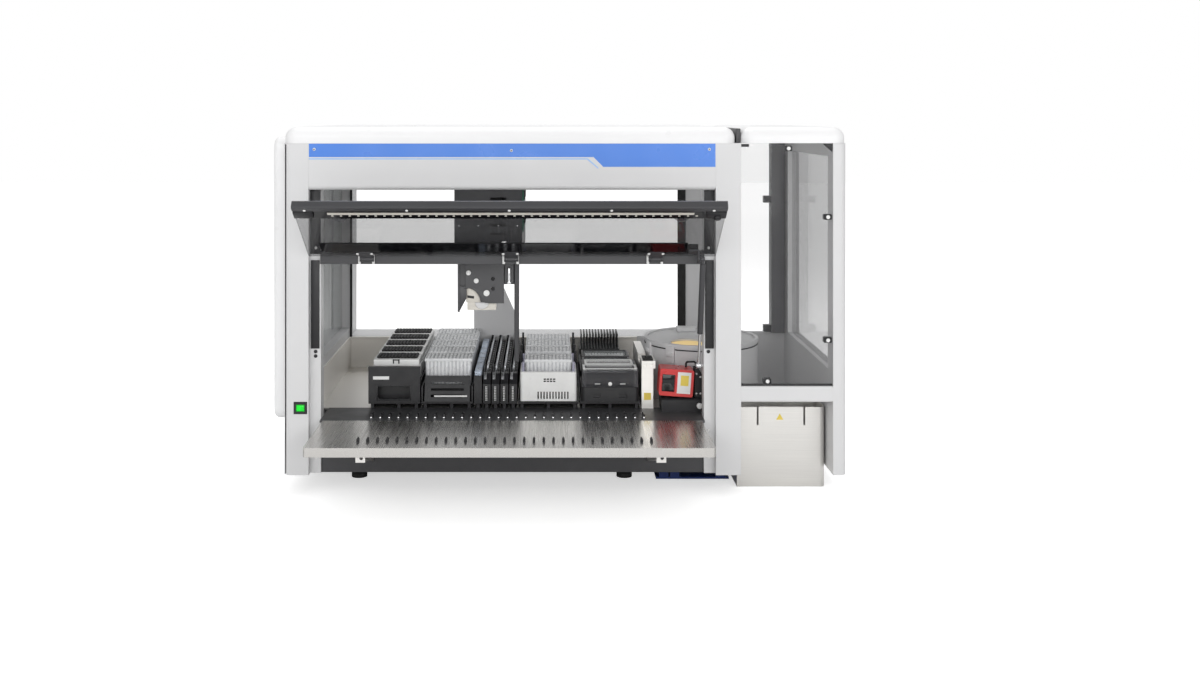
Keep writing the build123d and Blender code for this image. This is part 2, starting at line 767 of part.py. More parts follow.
def centrifuge_rotor():
    """Four-armed rotor with bucket pockets, on the spindle."""
    hub = rod(34, rotor_height, drum_x, drum_y, rotor_z)
    for n in range(4):
        arm = block(0, rotor_radius - 10, -11, 11, rotor_z + 20, rotor_z + 52)
        cup = block(66, rotor_radius - 4, -30, 30, rotor_z, rotor_z + rotor_height - 8)
        cup -= block(72, rotor_radius - 10, -24, 24, rotor_z + 4, rotor_z + rotor_height)
        hub += Pos(drum_x, drum_y, 0) * Rot(0, 0, 45 + 90 * n) * (arm - block(
            72, rotor_radius - 10, -24, 24, rotor_z + 4, rotor_z + rotor_height) + cup)
    return hub - rod(spindle_radius + 0.06, rotor_height + 2, drum_x, drum_y, rotor_z - 1)


def centrifuge_base():
    """Blue base plate on the bench, isolator blocks and a plinth under the tub."""
    x0, x1 = drum_x - 138, body_right - 10
    y0, y1 = drum_y - 190, drum_y + 190
    stand = block(x0, x1, y0, y1, 0, 5)
    for x in (x0 + 8, x0 + 36, x1 - 34):
        for y in (y0, y1 - 30):
            stand += block(x, x + 24, y, y + 30, 5, plinth_z)
    stand += block(x0 + 4, x1 - 4, y0, y1, plinth_z, drum_bottom)
    return stand


# ================= devices on the deck =================
def waste_chute():
    """Stainless tip chute: a slim box with a taller head and a knob."""
    x0 = track_x(track_count) + 2
    y0 = front_y + 130
    chute = block(x0, x0 + 30, y0, y0 + 128, deck_z, 286)
    chute += block(x0, x0 + 20, y0 + 128, y0 + 312, deck_z, 300)
    head = block(x0, x0 + 35, y0 - 4, y0 + 70, 286, 305)
    for x in (x0 + 9, x0 + 25):
        head -= rod(4, 6, x, y0 - 5, 296, "Y")
    chute += head
    return chute + rod(7, 4, x0 + 18, y0 + 30, 305)


def scanner_base():
    """Black foot and upright bracket of the bar-code scanner."""
    foot = block(scan_x - 38, scan_x + 66, scan_y + 4, scan_y + 70, deck_z, 216)
    foot = chamfer(foot.edges().filter_by(Axis.X).group_by(Axis.Z)[-1], 4)
    upright = prism_y([(scan_x + 48, 216), (scan_x + 66, 216), (scan_x + 66, 275),
                       (scan_x + 58, 288), (scan_x + 48, 288)], scan_y + 20, scan_y + 62)
    knob = rod(6, 6, scan_x + 57, scan_y - 2, 200, "Y")
    return foot + upright + knob


def scanner_body():
    """Red scanner housing, tilted, with its window frame."""
    w, d, h = scan_size
    case = Box(w, d, h)
    case = fillet(case.edges().filter_by(Axis.Y), 5)
    case -= Pos(-20, -d / 2, -2) * Box(34, 6, 42)
    case += Pos(-20, -d / 2 + 2, -2) * Box(30, 1.5, 38)
    case = Rot(0, 4, 0) * case
    return Pos(scan_x, scan_y + d / 2 + 4, 256) * case


def scanner_cable():
    """Short lead from the scanner over to its bracket."""
    y = scan_y + 44
    x0, x1 = scan_x + 28.0, scan_x + 53.0
    path = FilletPolyline((x0, y, 288.4), (x0, y, 302), (x1, y, 302), (x1, y, 288), radius=6)
    return sweep(Plane(origin=path @ 0, z_dir=path % 0) * Circle(2.5), path=path)


# ================= carriers =================
def carrier_span(first, count):
    """Left and right faces of a carrier that covers some tracks."""
    return track_x(first) + carrier_clear, track_x(first + count) - carrier_clear


def carrier_floor_plate(first, count):
    """Base plate with runners that slide between the guide pins."""
    x0, x1 = carrier_span(first, count)
    y0, y1 = carrier_y, carrier_y + carrier_length
    plate = block(x0, x1, y0, y1, carrier_floor, plate_top)
    runners = range(count) if count < 4 else (0, count // 2, count - 1)
    for n in runners:
        x = track_x(first + n) + track_pitch / 2
        plate += block(x - runner_width / 2, x + runner_width / 2, y0 + 6, y1 - 6,
                       deck_z + runner_gap, carrier_floor)
    return plate


def rack_rows(first_y):
    """The front Y of each rack that fits behind a first one."""
    rows = int((carrier_back - first_y - rack_length) // rack_pitch) + 1
    return [first_y + rack_pitch * n for n in range(rows)]


def tip_carrier():
    """Carrier for five tip racks: black front with a window, side rails, cross bars."""
    x0, x1 = carrier_span(0, 6)
    base = carrier_floor_plate(0, 6)
    front = block(x0, x1, carrier_y, carrier_y + 14, plate_top, 290)
    window = block(x0 + 22, x1 - 24, carrier_y - 1, carrier_y + 15, 207, 240)
    window = fillet(window.edges().filter_by(Axis.Y).group_by(Axis.Z)[0], 10)
    front -= window
    for x in (x0, x1 - 4):
        base += block(x, x + 4, carrier_y + 14, carrier_back, plate_top, tip_seat)
    for y in rack_rows(carrier_y + rack_setback):
        base += block(x0 + 4, x1 - 4, y - 8, y - 2, plate_top, tip_seat - 2)
    return base + front


def tip_xs(mid):
    """The X of each column of tips in a rack."""
    return [mid + tip_pitch * (n - (tip_columns - 1) / 2) for n in range(tip_columns)]


def tip_racks():
    """Five racks of pipette tips: a skirted white box under twelve rows of tips."""
    x0, x1 = carrier_span(0, 6)
    mid = (x0 + x1) / 2
    solids = []
    for y in rack_rows(carrier_y + rack_setback):
        w = rack_width / 2
        rack = block(mid - w, mid + w, y, y + rack_length, tip_seat, rack_top - 8)
        rack = chamfer(rack.edges().filter_by(Axis.Z), 4)
        for x in tip_xs(mid):
            rack += block(x - 2.6, x + 2.6, y + 8, y + rack_length - 4, rack_top - 8, rack_top)
        solids.append(rack)
    return solids


def rack_carrier():
    """Open carrier for ribbed racks, with a sloping slotted front plate."""
    x0, x1 = carrier_span(6, 6)
    base = carrier_floor_plate(6, 6)
    slope = prism_x([(carrier_y, plate_top), (carrier_y + 6, plate_top), (carrier_y + 30, 262),
                     (carrier_y + 24, 262)], x0 + 8, x1 - 8)
    for n in range(3):
        z = 212 + 15 * n
        slope -= block(x0 + 24, x1 - 24, carrier_y - 1, carrier_y + 40, z, z + 6)
    for x in (x0, x1 - 4):
        base += block(x, x + 4, carrier_y + 4, carrier_back, plate_top, rack_seat + 8)
    for y in rack_rows(carrier_y + rack_setback):
        base += block(x0 + 4, x1 - 4, y + 3, y + 8, rack_seat - 18, rack_seat)
    return base + slope


def ribbed_rack(mid, y, low, high):
    """A translucent rack of tips: ribbed faces and twelve raised rows."""
    w = rack_width / 2
    rack = block(mid - w + 2, mid + w - 2, y + 2, y + rack_length - 2, low, high - 10)
    rack += block(mid - w, mid + w, y, y + rack_length, low, low + 6)
    for x in tip_xs(mid):
        rack += block(x - 2, x + 2, y, y + rack_length, low + 6, high)
    return rack


def ribbed_racks():
    mid = (track_x(6) + track_x(12)) / 2
    return [ribbed_rack(mid, y, rack_seat + rack_gap, rack_top)
            for y in rack_rows(carrier_y + rack_setback)]


def tile_carrier():
    """One-track carrier with seven pale reagent tiles along its top."""
    x0, x1 = carrier_span(12, 1)
    y0 = carrier_y
    body = carrier_floor_plate(12, 1)
    body += block(x0, x1, y0, carrier_back, plate_top, tile_z)
    for n in range(int(carrier_length // tile_pitch)):
        y = y0 + 4 + tile_pitch * n
        tile = block(x0 + 1, x1 - 1, y, y + tile_pitch - 4, tile_z, tile_z + 10)
        body += chamfer(tile.edges().group_by(Axis.Z)[-1], 1)
    return body


def slim_carriers():
    """Four one-track tube carriers with raised metal blades."""
    solids = []
    for n in range(4):
        x0, x1 = carrier_span(13 + n, 1)
        y0, y1 = carrier_y, carrier_back
        body = carrier_floor_plate(13 + n, 1)
        body += prism_x([(y0, plate_top), (y1, plate_top), (y1, 268), (y0 + 30, 268), (y0, 246)],
                        x0, x1)
        body -= block(x0 + 5, x1 - 5, y0 - 1, y0 + 4, 210, 240)
        blade = prism_x([(y0 + 24, 264), (y1 - 8, 264), (y1 - 8, 284), (y0 + 60, 284),
                         (y0 + 30, 274)], x0 + 2, x0 + 8)
        solids.append(body + blade)
    return solids


def heater_carrier():
    """Seven-track carrier with side posts for the heater and its racks."""
    x0, x1 = carrier_span(17, 7)
    base = carrier_floor_plate(17, 7)
    rows = rack_rows(carrier_y + heater_rack_y)
    for y in rows + [rows[-1] + rack_pitch]:
        for x in (x0 + 2, x1 - 8):
            base += block(x, x + 6, y - 6.5, y - 1.5, plate_top, rack_top - 1)
        base += block(x0 + 8, x1 - 8, y + 7.5, y + 12.5, plate_top, low_rack_seat)
    return base


def heater_module():
    """White heater and shaker block, slotted below, with corner posts on top."""
    x0, x1 = carrier_span(17, 7)
    x0, x1, y0 = x0 + 5, x1 - 5, carrier_y + 4
    shell = block(x0, x1, y0, y0 + heater_length, plate_top, heater_top)
    shell = fillet(shell.edges().filter_by(Axis.Z), 8)
    shell = chamfer(shell.edges().group_by(Axis.Z)[-1], 2)
    for n in range(11):
        x = x0 + 46 + 7.6 * n
        shell -= block(x - 1.8, x + 1.8, y0 - 1, y0 + 6, 207, 226)
    shell -= block(x0 + 10, x1 - 10, y0 + 12, y0 + heater_length - 12, heater_floor, heater_top + 1)
    for x in (x0 + 5, x1 - 11):
        for y in (y0 + 8, y0 + heater_length - 14):
            shell += block(x, x + 6, y, y + 6, heater_top - 6, rack_top - 4)
    return shell


def heater_racks():
    mid = (track_x(17) + track_x(24)) / 2
    rows = rack_rows(carrier_y + heater_rack_y)
    racks = [ribbed_rack(mid, y, low_rack_seat + rack_gap, rack_top - 2) for y in rows]
    return racks + [ribbed_rack(mid, carrier_y + 32, heater_floor + rack_gap, rack_top)]


def cooler_carrier():
    """Seven-track carrier plate with a finned rack at its far end."""
    x0, x1 = carrier_span(24, 7)
    base = carrier_floor_plate(24, 7)
    y0, y1 = carrier_y + filter_start, carrier_back - fin_block
    rack = block(x0 + 10, x1 - 30, y1, y1 + 100, plate_top, 262)
    for n in range(13):
        x = x0 + 14 + 8.6 * n
        rack += block(x, x + 3, y1 + 4, y1 + 96, 262, rack_top)
    tall = block(x0 + 6, x1 - 6, y0, y1 - 12, plate_top, tip_seat)
    tall = chamfer(tall.edges().filter_by(Axis.Z), 5)
    for n in range(int((y1 - y0 - 12) // filter_pitch)):
        y = y0 + 8 + filter_pitch * n
        frame = block(x0 + 12, x1 - 12, y, y + 96, tip_seat, tip_seat + 18)
        tall += frame - block(x0 + 18, x1 - 18, y + 6, y + 90, tip_seat + 2, tip_seat + 19)
    return base + rack + tall


def cooler_module():
    """Black filter module: solid lower housing with a tinted lid block."""
    x0, x1 = carrier_span(24, 7)
    x0, x1, y0 = x0 + 4, x1 - 4, carrier_y - 2
    shell = block(x0, x1, y0, y0 + 140, plate_top, 238)
    shell = fillet(shell.edges().filter_by(Axis.Z), 10)
    shell += fillet(block(x0 + 3, x1 - 3, y0 + 3, y0 + 137, 238, 284).edges().filter_by(Axis.Z), 10)
    shell -= block(x0 + 14, x1 - 14, y0 + 14, y0 + 126, 250, 285)
    for x in (x0 + 30, x1 - 50):
        shell -= block(x, x + 20, y0 - 1, y0 + 5, 212, 222)
    return shell


NODES = [
    base_chassis, levelling_feet, left_side_frame, right_side_frame, post_trims, left_side_cover,
    power_bezel, power_button, top_cover, front_fascia, rear_housing, windows, x_rails,
    deck_plate, front_rail, track_pins, deck_walls, loading_tray, tray_brackets, rear_stand,
    hood_glass, hood_edge_bar, hood_plates, hood_hinges, cross_beam, hinge_pins,
    strut_rod, strut_cylinder, arm_housing, head_carriage, head_plates, head_cup, reach_bar,
    extension_cover, extension_side_frame, extension_panes, extension_bar, pane_clips,
    extension_rear, waste_bin, centrifuge_housing, centrifuge_lid, centrifuge_rotor,
    centrifuge_base, waste_chute, scanner_base, scanner_body, scanner_cable,
    tip_carrier, tip_racks, rack_carrier, ribbed_racks, tile_carrier, slim_carriers,
    heater_carrier, heater_module, heater_racks, cooler_carrier, cooler_module,
]

os.makedirs("parts", exist_ok=True)
for make in NODES:
    made = make()
    solids = made if isinstance(made, list) else [made]
    export_step(Compound(children=[s for one in solids for s in one.solids()]),
                f"parts/{make.__name__}.step")
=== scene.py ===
import bpy
import bmesh
import json
import math
from mathutils import Matrix, Vector

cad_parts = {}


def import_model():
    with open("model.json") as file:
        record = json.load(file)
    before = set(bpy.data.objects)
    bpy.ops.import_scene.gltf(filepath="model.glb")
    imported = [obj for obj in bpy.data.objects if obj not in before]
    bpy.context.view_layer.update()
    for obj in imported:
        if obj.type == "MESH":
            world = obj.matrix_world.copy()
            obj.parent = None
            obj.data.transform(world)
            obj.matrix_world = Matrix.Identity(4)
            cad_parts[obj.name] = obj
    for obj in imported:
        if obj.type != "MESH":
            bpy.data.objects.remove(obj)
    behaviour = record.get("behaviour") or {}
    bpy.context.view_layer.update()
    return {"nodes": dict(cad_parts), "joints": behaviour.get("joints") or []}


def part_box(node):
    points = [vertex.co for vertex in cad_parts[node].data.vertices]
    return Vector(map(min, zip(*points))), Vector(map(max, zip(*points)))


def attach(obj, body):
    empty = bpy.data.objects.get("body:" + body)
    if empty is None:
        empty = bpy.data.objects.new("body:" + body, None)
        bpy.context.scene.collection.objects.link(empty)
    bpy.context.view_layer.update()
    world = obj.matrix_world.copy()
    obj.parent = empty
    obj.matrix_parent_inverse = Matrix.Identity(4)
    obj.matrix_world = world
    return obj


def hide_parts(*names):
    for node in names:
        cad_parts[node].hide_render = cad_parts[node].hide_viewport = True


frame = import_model()
nodes = frame["nodes"]
MM = 0.001

# Lengths below are in millimetres, as in the part's source, and are turned into metres
# when a piece is made. X is to the right, Y to the back, Z up.

# ---------------------------------------------------------------- materials


def new_material(name):
    """A node material, its node tree and its Principled shader."""
    mat = bpy.data.materials.new(name)
    mat.use_nodes = True
    tree = mat.node_tree
    return mat, tree, tree.nodes["Principled BSDF"]


def noise(tree, scale, detail=3.0, stretch=None, rough=0.5):
    """An object-space noise; stretch squeezes it along the axes."""
    coord = tree.nodes.new("ShaderNodeTexCoord")
    tex = tree.nodes.new("ShaderNodeTexNoise")
    tex.inputs["Scale"].default_value = scale
    tex.inputs["Detail"].default_value = detail
    tex.inputs["Roughness"].default_value = rough
    source = coord.outputs["Object"]
    if stretch:
        mapping = tree.nodes.new("ShaderNodeMapping")
        mapping.inputs["Scale"].default_value = stretch
        tree.links.new(source, mapping.inputs["Vector"])
        source = mapping.outputs["Vector"]
    tree.links.new(source, tex.inputs["Vector"])
    return tex.outputs["Fac"]


def ranged(tree, value, low, high):
    """A noise value from 0.3 to 0.7 mapped to a low and a high value."""
    node = tree.nodes.new("ShaderNodeMapRange")
    node.inputs["From Min"].default_value = 0.3
    node.inputs["From Max"].default_value = 0.7
    node.inputs["To Min"].default_value = low
    node.inputs["To Max"].default_value = high
    tree.links.new(value, node.inputs["Value"])
    return node.outputs["Result"]


def varied(tree, value, colour, spread):
    """A colour that drifts a little either side of the given one."""
    mix = tree.nodes.new("ShaderNodeMix")
    mix.data_type = "RGBA"
    mix.inputs["A"].default_value = [max(0.0, c * (1 - spread)) for c in colour] + [1]
    mix.inputs["B"].default_value = [min(1.0, c * (1 + spread)) for c in colour] + [1]
    tree.links.new(ranged(tree, value, 0, 1), mix.inputs["Factor"])
    return mix.outputs["Result"]


def bump(tree, shader, height, depth, edge=0.0):
    """Surface relief, and a softened edge where edge is a radius in metres."""
    node = tree.nodes.new("ShaderNodeBump")
    node.inputs["Strength"].default_value = 0.5
    node.inputs["Distance"].default_value = depth
    tree.links.new(height, node.inputs["Height"])
    if edge:
        bevel = tree.nodes.new("ShaderNodeBevel")
        bevel.samples = 4
        bevel.inputs["Radius"].default_value = edge
        tree.links.new(bevel.outputs["Normal"], node.inputs["Normal"])
    tree.links.new(node.outputs["Normal"], shader.inputs["Normal"])


def enamel(name, colour, rough=0.42, grain=900, depth=0.00012, spread=0.02, edge=0.0012, coat=0.0):
    """Powder coat or enamel: fine orange peel, slow drift in tone and gloss."""
    mat, tree, shader = new_material(name)
    tree.links.new(varied(tree, noise(tree, 3.0), colour, spread), shader.inputs["Base Color"])
    tree.links.new(ranged(tree, noise(tree, 14.0), rough - 0.05, rough + 0.06), shader.inputs["Roughness"])
    bump(tree, shader, noise(tree, grain, 2.0), depth, edge)
    shader.inputs["Coat Weight"].default_value = coat
    return mat


def plastic(name, colour, rough=0.5, grain=1600, depth=0.0001, spread=0.05, edge=0.0006, through=0.0):
    """Moulded plastic with a fine spark-eroded grain."""
    mat, tree, shader = new_material(name)
    tree.links.new(varied(tree, noise(tree, 22.0), colour, spread), shader.inputs["Base Color"])
    tree.links.new(ranged(tree, noise(tree, 60.0), rough - 0.08, rough + 0.08), shader.inputs["Roughness"])
    bump(tree, shader, noise(tree, grain, 4.0), depth, edge)
    shader.inputs["Transmission Weight"].default_value = through
    shader.inputs["IOR"].default_value = 1.46
    return mat


def brushed(name, colour, rough=0.3, stretch=(2, 420, 420), depth=0.00004, edge=0.0006, spread=0.05):
    """Brushed sheet: fine streaks along one axis, and faint smears."""
    mat, tree, shader = new_material(name)
    streaks = noise(tree, 3.0, 4.0, stretch)
    tree.links.new(varied(tree, streaks, colour, spread), shader.inputs["Base Color"])
    tree.links.new(ranged(tree, streaks, rough - 0.07, rough + 0.1), shader.inputs["Roughness"])
    shader.inputs["Metallic"].default_value = 1.0
    bump(tree, shader, streaks, depth, edge)
    return mat


def pane(name, colour, alpha, rough=0.02):
    """Clear or tinted sheet: see-through face on, more mirror-like at a slant."""
    mat, tree, shader = new_material(name)
    tree.links.new(varied(tree, noise(tree, 4.0), colour, 0.06), shader.inputs["Base Color"])
    tree.links.new(ranged(tree, noise(tree, 18.0), rough, rough + 0.03), shader.inputs["Roughness"])
    slant = tree.nodes.new("ShaderNodeLayerWeight")
    slant.inputs["Blend"].default_value = 0.5
    power = tree.nodes.new("ShaderNodeMath")
    power.operation = "POWER"
    power.inputs[1].default_value = 5.0
    tree.links.new(slant.outputs["Facing"], power.inputs[0])
    lift = tree.nodes.new("ShaderNodeMapRange")
    lift.inputs["To Min"].default_value = alpha
    lift.inputs["To Max"].default_value = 1.0
    tree.links.new(power.outputs[0], lift.inputs["Value"])
    tree.links.new(lift.outputs["Result"], shader.inputs["Alpha"])
    return mat


def two_tone(name, low, high, level):
    """One colour below a height and another above it."""
    mat, tree, shader = new_material(name)
    coord = tree.nodes.new("ShaderNodeTexCoord")
    split = tree.nodes.new("ShaderNodeSeparateXYZ")
    above = tree.nodes.new("ShaderNodeMath")
    above.operation = "GREATER_THAN"
    above.inputs[1].default_value = level
    tree.links.new(coord.outputs["Object"], split.inputs[0])
    tree.links.new(split.outputs["Z"], above.inputs[0])
    mix = tree.nodes.new("ShaderNodeMix")
    mix.data_type = "RGBA"
    tree.links.new(above.outputs[0], mix.inputs["Factor"])
    tree.links.new(varied(tree, noise(tree, 3.0), low, 0.03), mix.inputs["A"])
    tree.links.new(varied(tree, noise(tree, 5.0), high, 0.08), mix.inputs["B"])
    tree.links.new(mix.outputs["Result"], shader.inputs["Base Color"])
    tree.links.new(ranged(tree, noise(tree, 14.0), 0.34, 0.46), shader.inputs["Roughness"])
    bump(tree, shader, noise(tree, 900, 2.0), 0.00012, 0.001)
    return mat


WHITE = enamel("white_enamel", (0.83, 0.83, 0.835), 0.32, edge=0.0015)
GREY = enamel("light_grey_enamel", (0.66, 0.66, 0.665), 0.38)
DARK = enamel("dark_enamel", (0.052, 0.052, 0.056), 0.42, spread=0.08)
PILLAR = two_tone("extension_pillar", (0.60, 0.60, 0.605), (0.075, 0.075, 0.08), 0.2915)
BLUE = enamel("stripe_blue", (0.055, 0.21, 0.70), 0.3, edge=0)
PALE_BLUE = enamel("stripe_pale", (0.30, 0.50, 0.82), 0.3, edge=0)
DEEP_BLUE = enamel("base_blue", (0.010, 0.030, 0.16), 0.35)
STEEL = brushed("deck_stainless", (0.80, 0.785, 0.755), 0.38, depth=0.00001)
TRAY = brushed("tray_stainless", (0.64, 0.625, 0.60), 0.24, (420, 2, 420), depth=0.0000008, spread=0.02)
POLISHED = brushed("ground_steel", (0.75, 0.75, 0.76), 0.14, (200, 200, 4))
BLADE = brushed("blade_aluminium", (0.64, 0.65, 0.67), 0.34, (60, 30, 160), spread=0.35)
WALL = enamel("satin_wall", (0.90, 0.87, 0.815), 0.34, spread=0.04)
ANODISED = enamel("black_anodised", (0.042, 0.042, 0.046), 0.34, 1400, 0.00006, 0.1)
HEAD_GREY = enamel("head_grey", (0.062, 0.062, 0.066), 0.4, 1400, 0.00008, 0.06)
BLACK = plastic("black_plastic", (0.016, 0.016, 0.018), 0.42)
GLOSS = plastic("gloss_black", (0.004, 0.004, 0.005), 0.08, depth=0.00002, edge=0)
RUBBER = plastic("rubber", (0.018, 0.018, 0.018), 0.7, 2400)
WHITE_PLASTIC = plastic("white_plastic", (0.82, 0.82, 0.81), 0.35)
FROSTED = plastic("frosted_tips", (0.80, 0.81, 0.82), 0.3, through=0.1)
CREAM = plastic("cream_plastic", (0.66, 0.63, 0.57), 0.4)
TILE = plastic("pale_tile", (0.56, 0.64, 0.76), 0.3)
RED = enamel("red_case", (0.62, 0.035, 0.035), 0.3, spread=0.06)
GREEN = plastic("green_key", (0.0, 0.42, 0.02), 0.25)
BOARD = plastic("circuit_green", (0.01, 0.10, 0.06), 0.4)
LABEL = plastic("blank_label", (0.80, 0.80, 0.79), 0.6, edge=0)
# Grey painted shade for the grooves between the ribs of the tip racks.
GROOVE_SHADE = plastic("rack_groove_painted_shade", (0.52, 0.53, 0.55), 0.4, edge=0)
YELLOW = plastic("yellow_patch", (0.78, 0.60, 0.10), 0.5, edge=0)
AMBER = plastic("amber_bowl", (0.86, 0.74, 0.46), 0.4)
CLEAR = pane("clear_pane", (0.55, 0.58, 0.58), 0.015)
SMOKE = pane("smoke_pane", (0.06, 0.06, 0.062), 0.27)
LIGHT_SMOKE = pane("light_smoke_pane", (0.16, 0.16, 0.165), 0.10)
TINTED_LID = pane("tinted_lid", (0.10, 0.10, 0.11), 0.35)

NODE_MATERIALS = {
    WHITE: ["top_cover", "extension_cover", "left_side_cover"],
    GREY: ["left_side_frame", "right_side_frame", "post_trims", "front_fascia", "rear_housing",
           "rear_stand", "extension_side_frame", "extension_bar",
           "centrifuge_housing", "centrifuge_lid"],
    PILLAR: ["extension_rear"],
    DARK: ["base_chassis", "front_rail", "strut_cylinder", "hood_hinges"],
    DEEP_BLUE: ["centrifuge_base"],
    WALL: ["deck_walls"],
    STEEL: ["deck_plate", "waste_chute", "tray_brackets", "waste_bin"],
    TRAY: ["loading_tray"],
    POLISHED: ["hinge_pins", "strut_rod", "x_rails"],
    ANODISED: ["hood_edge_bar", "cross_beam", "arm_housing", "head_carriage", "reach_bar"],
    HEAD_GREY: ["head_plates"],
    BLACK: ["power_bezel", "pane_clips", "scanner_base", "tip_carrier", "rack_carrier",
            "tile_carrier", "slim_carriers", "heater_carrier", "cooler_carrier", "cooler_module",
            "track_pins"],
    GLOSS: ["hood_plates"],
    RUBBER: ["levelling_feet", "scanner_cable"],
    WHITE_PLASTIC: ["heater_module", "tip_racks"],
    FROSTED: ["ribbed_racks", "heater_racks"],
    CREAM: ["head_cup"],
    RED: ["scanner_body"],
    GREEN: ["power_button"],
    AMBER: ["centrifuge_rotor"],
    CLEAR: ["windows"],
    SMOKE: ["hood_glass"],
    LIGHT_SMOKE: ["extension_panes"],
}
for material, names in NODE_MATERIALS.items():
    for node in names:
        mesh = nodes[node].data
        mesh.materials.clear()
        mesh.materials.append(material)

# ---------------------------------------------------------------- mesh kit


class Piece:
    """Collects solids, in millimetres, and turns them into one Blender object."""

    def __init__(self, name):
        self.name = name
        self.mesh = bmesh.new()

    def box(self, low, high, turn=None):
        size = [b - a for a, b in zip(low, high)]
        mid = [(a + b) / 2 for a, b in zip(low, high)]
        place = Matrix.Translation(mid) @ (turn or Matrix()) @ Matrix.Diagonal(size + [1])
        bmesh.ops.create_cube(self.mesh, size=1, matrix=place)
        return self

    def cone(self, start, end, r1, r2=None, sides=20):
        start, end = Vector(start), Vector(end)
        way = end - start
        place = Matrix.Translation((start + end) / 2) @ way.to_track_quat("Z", "Y").to_matrix().to_4x4()
        bmesh.ops.create_cone(self.mesh, cap_ends=True, segments=sides, radius1=r1,
                              radius2=r1 if r2 is None else r2, depth=way.length, matrix=place)
        return self

    def ring(self, start, end, outer, inner, sides=28):
        """A tube between two points."""
        start, end = Vector(start), Vector(end)
        turn = (end - start).to_track_quat("Z", "Y")
        loops = []
        for point, radius in ((start, outer), (end, outer), (end, inner), (start, inner)):
            loops.append([self.mesh.verts.new(point + turn @ Vector((
                radius * math.cos(2 * math.pi * n / sides), radius * math.sin(2 * math.pi * n / sides), 0)))
                for n in range(sides)])
        for a, b in zip(loops, loops[1:] + loops[:1]):
            for n in range(sides):
                m = (n + 1) % sides
                self.mesh.faces.new((a[n], a[m], b[m], b[n]))
        return self

    def prism(self, points, axis, low, high):
        """A closed outline drawn out along X, Y or Z."""
        order = {"X": lambda a, b, c: (c, a, b), "Y": lambda a, b, c: (a, c, b),
                 "Z": lambda a, b, c: (a, b, c)}[axis]
        ends = [[self.mesh.verts.new(order(a, b, c)) for a, b in points] for c in (low, high)]
        self.mesh.faces.new(ends[0])
        self.mesh.faces.new(ends[1][::-1])
        for n in range(len(points)):
            m = (n + 1) % len(points)
            self.mesh.faces.new((ends[0][n], ends[0][m], ends[1][m], ends[1][n]))
        return self

    def done(self, material, body="frame", bevel=0.0, place=None, replaces=(), steps=2):
        bmesh.ops.recalc_face_normals(self.mesh, faces=self.mesh.faces)
        data = bpy.data.meshes.new(self.name)
        self.mesh.to_mesh(data)
        self.mesh.free()
        data.transform(Matrix.Scale(MM, 4))
        if place is not None:
            data.transform(place)
        obj = bpy.data.objects.new(self.name, data)
        bpy.context.scene.collection.objects.link(obj)
        data.materials.append(material)
        data.shade_smooth()
        if bevel:
            mod = obj.modifiers.new("edges", "BEVEL")
            mod.width = bevel * MM
            mod.segments = steps
            mod.limit_method = "ANGLE"
            mod.angle_limit = math.radians(40)
        split = obj.modifiers.new("split", "EDGE_SPLIT")
        split.split_angle = math.radians(35)
        if replaces:
            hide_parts(*replaces)
        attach(obj, body)
        return obj


def limits(node):
    """A CAD node's corners at rest, in millimetres."""
    low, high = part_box(node)
    return [c / MM for c in low], [c / MM for c in high]


def arc(x, z, radius, angles):
    """Points round a centre, for angles in degrees."""
    return [(x + radius * math.cos(math.radians(a)), z + radius * math.sin(math.radians(a)))
            for a in angles]


def screw(piece, x, y, z, radius=3.6, axis="Y", sign=-1):
    """A domed socket-head screw standing out of a face."""
    way = {"X": Vector((1, 0, 0)), "Y": Vector((0, 1, 0)), "Z": Vector((0, 0, 1))}[axis] * sign
    base = Vector((x, y, z))
    piece.cone(base, base + way * 1.2, radius, radius)
    piece.cone(base + way * 1.2, base + way * 2.2, radius, radius * 0.62)


# the hood is modelled hanging shut and then swung up to its rest place
hinge = frame["joints"][[j["name"] for j in frame["joints"]].index("hood_swing")]
HINGE = Vector(hinge["pos_m"])
SWUNG = Matrix.Translation(HINGE) @ Matrix.Rotation(
    -math.radians(hinge["range_deg"][1]), 4, "X") @ Matrix.Translation(-HINGE)

FRONT = limits("front_fascia")[0][1]
COVER_Z = limits("front_fascia")[1][2]
FASCIA = limits("front_fascia")
DECK = limits("deck_plate")[1][2]
BODY = limits("left_side_frame")[0][0], limits("right_side_frame")[1][0]
FASCIA_SCREWS = ((-599, 849), (-115, 846), (371, 849))
HINGE_XS = (-471.5, -117, 237.5)
BRACKET_HALF = 17.15
SLEEVE_OFFSET = 17
TIP_COLUMNS = 12
WELL_PITCH = 9

# ---------------------------------------------------------------- casing details


def fascia_stripe():
    """A plain blue band with one straight step, and a thin pale line under it."""
    left, right = FASCIA[0][0] + 1, FASCIA[1][0] - 1
    top, low, step = COVER_Z - 1, COVER_Z - 34, COVER_Z - 58
    front = FRONT - 0.3
    turn = left + (right - left) * 0.70
    band = Piece("blue_band")
    band.prism([(left, top), (right, top), (right, step), (turn + 24, step), (turn, low), (left, low)],
               "Y", front, FRONT)
    band.done(BLUE)
    thin = Piece("pale_band")
    thin.prism([(left, low - 3), (turn - 14, low - 3), (turn + 12, step - 2), (turn + 12, step - 5),
                (turn - 16, low - 6), (left, low - 6)], "Y", front, FRONT)
    thin.done(PALE_BLUE)


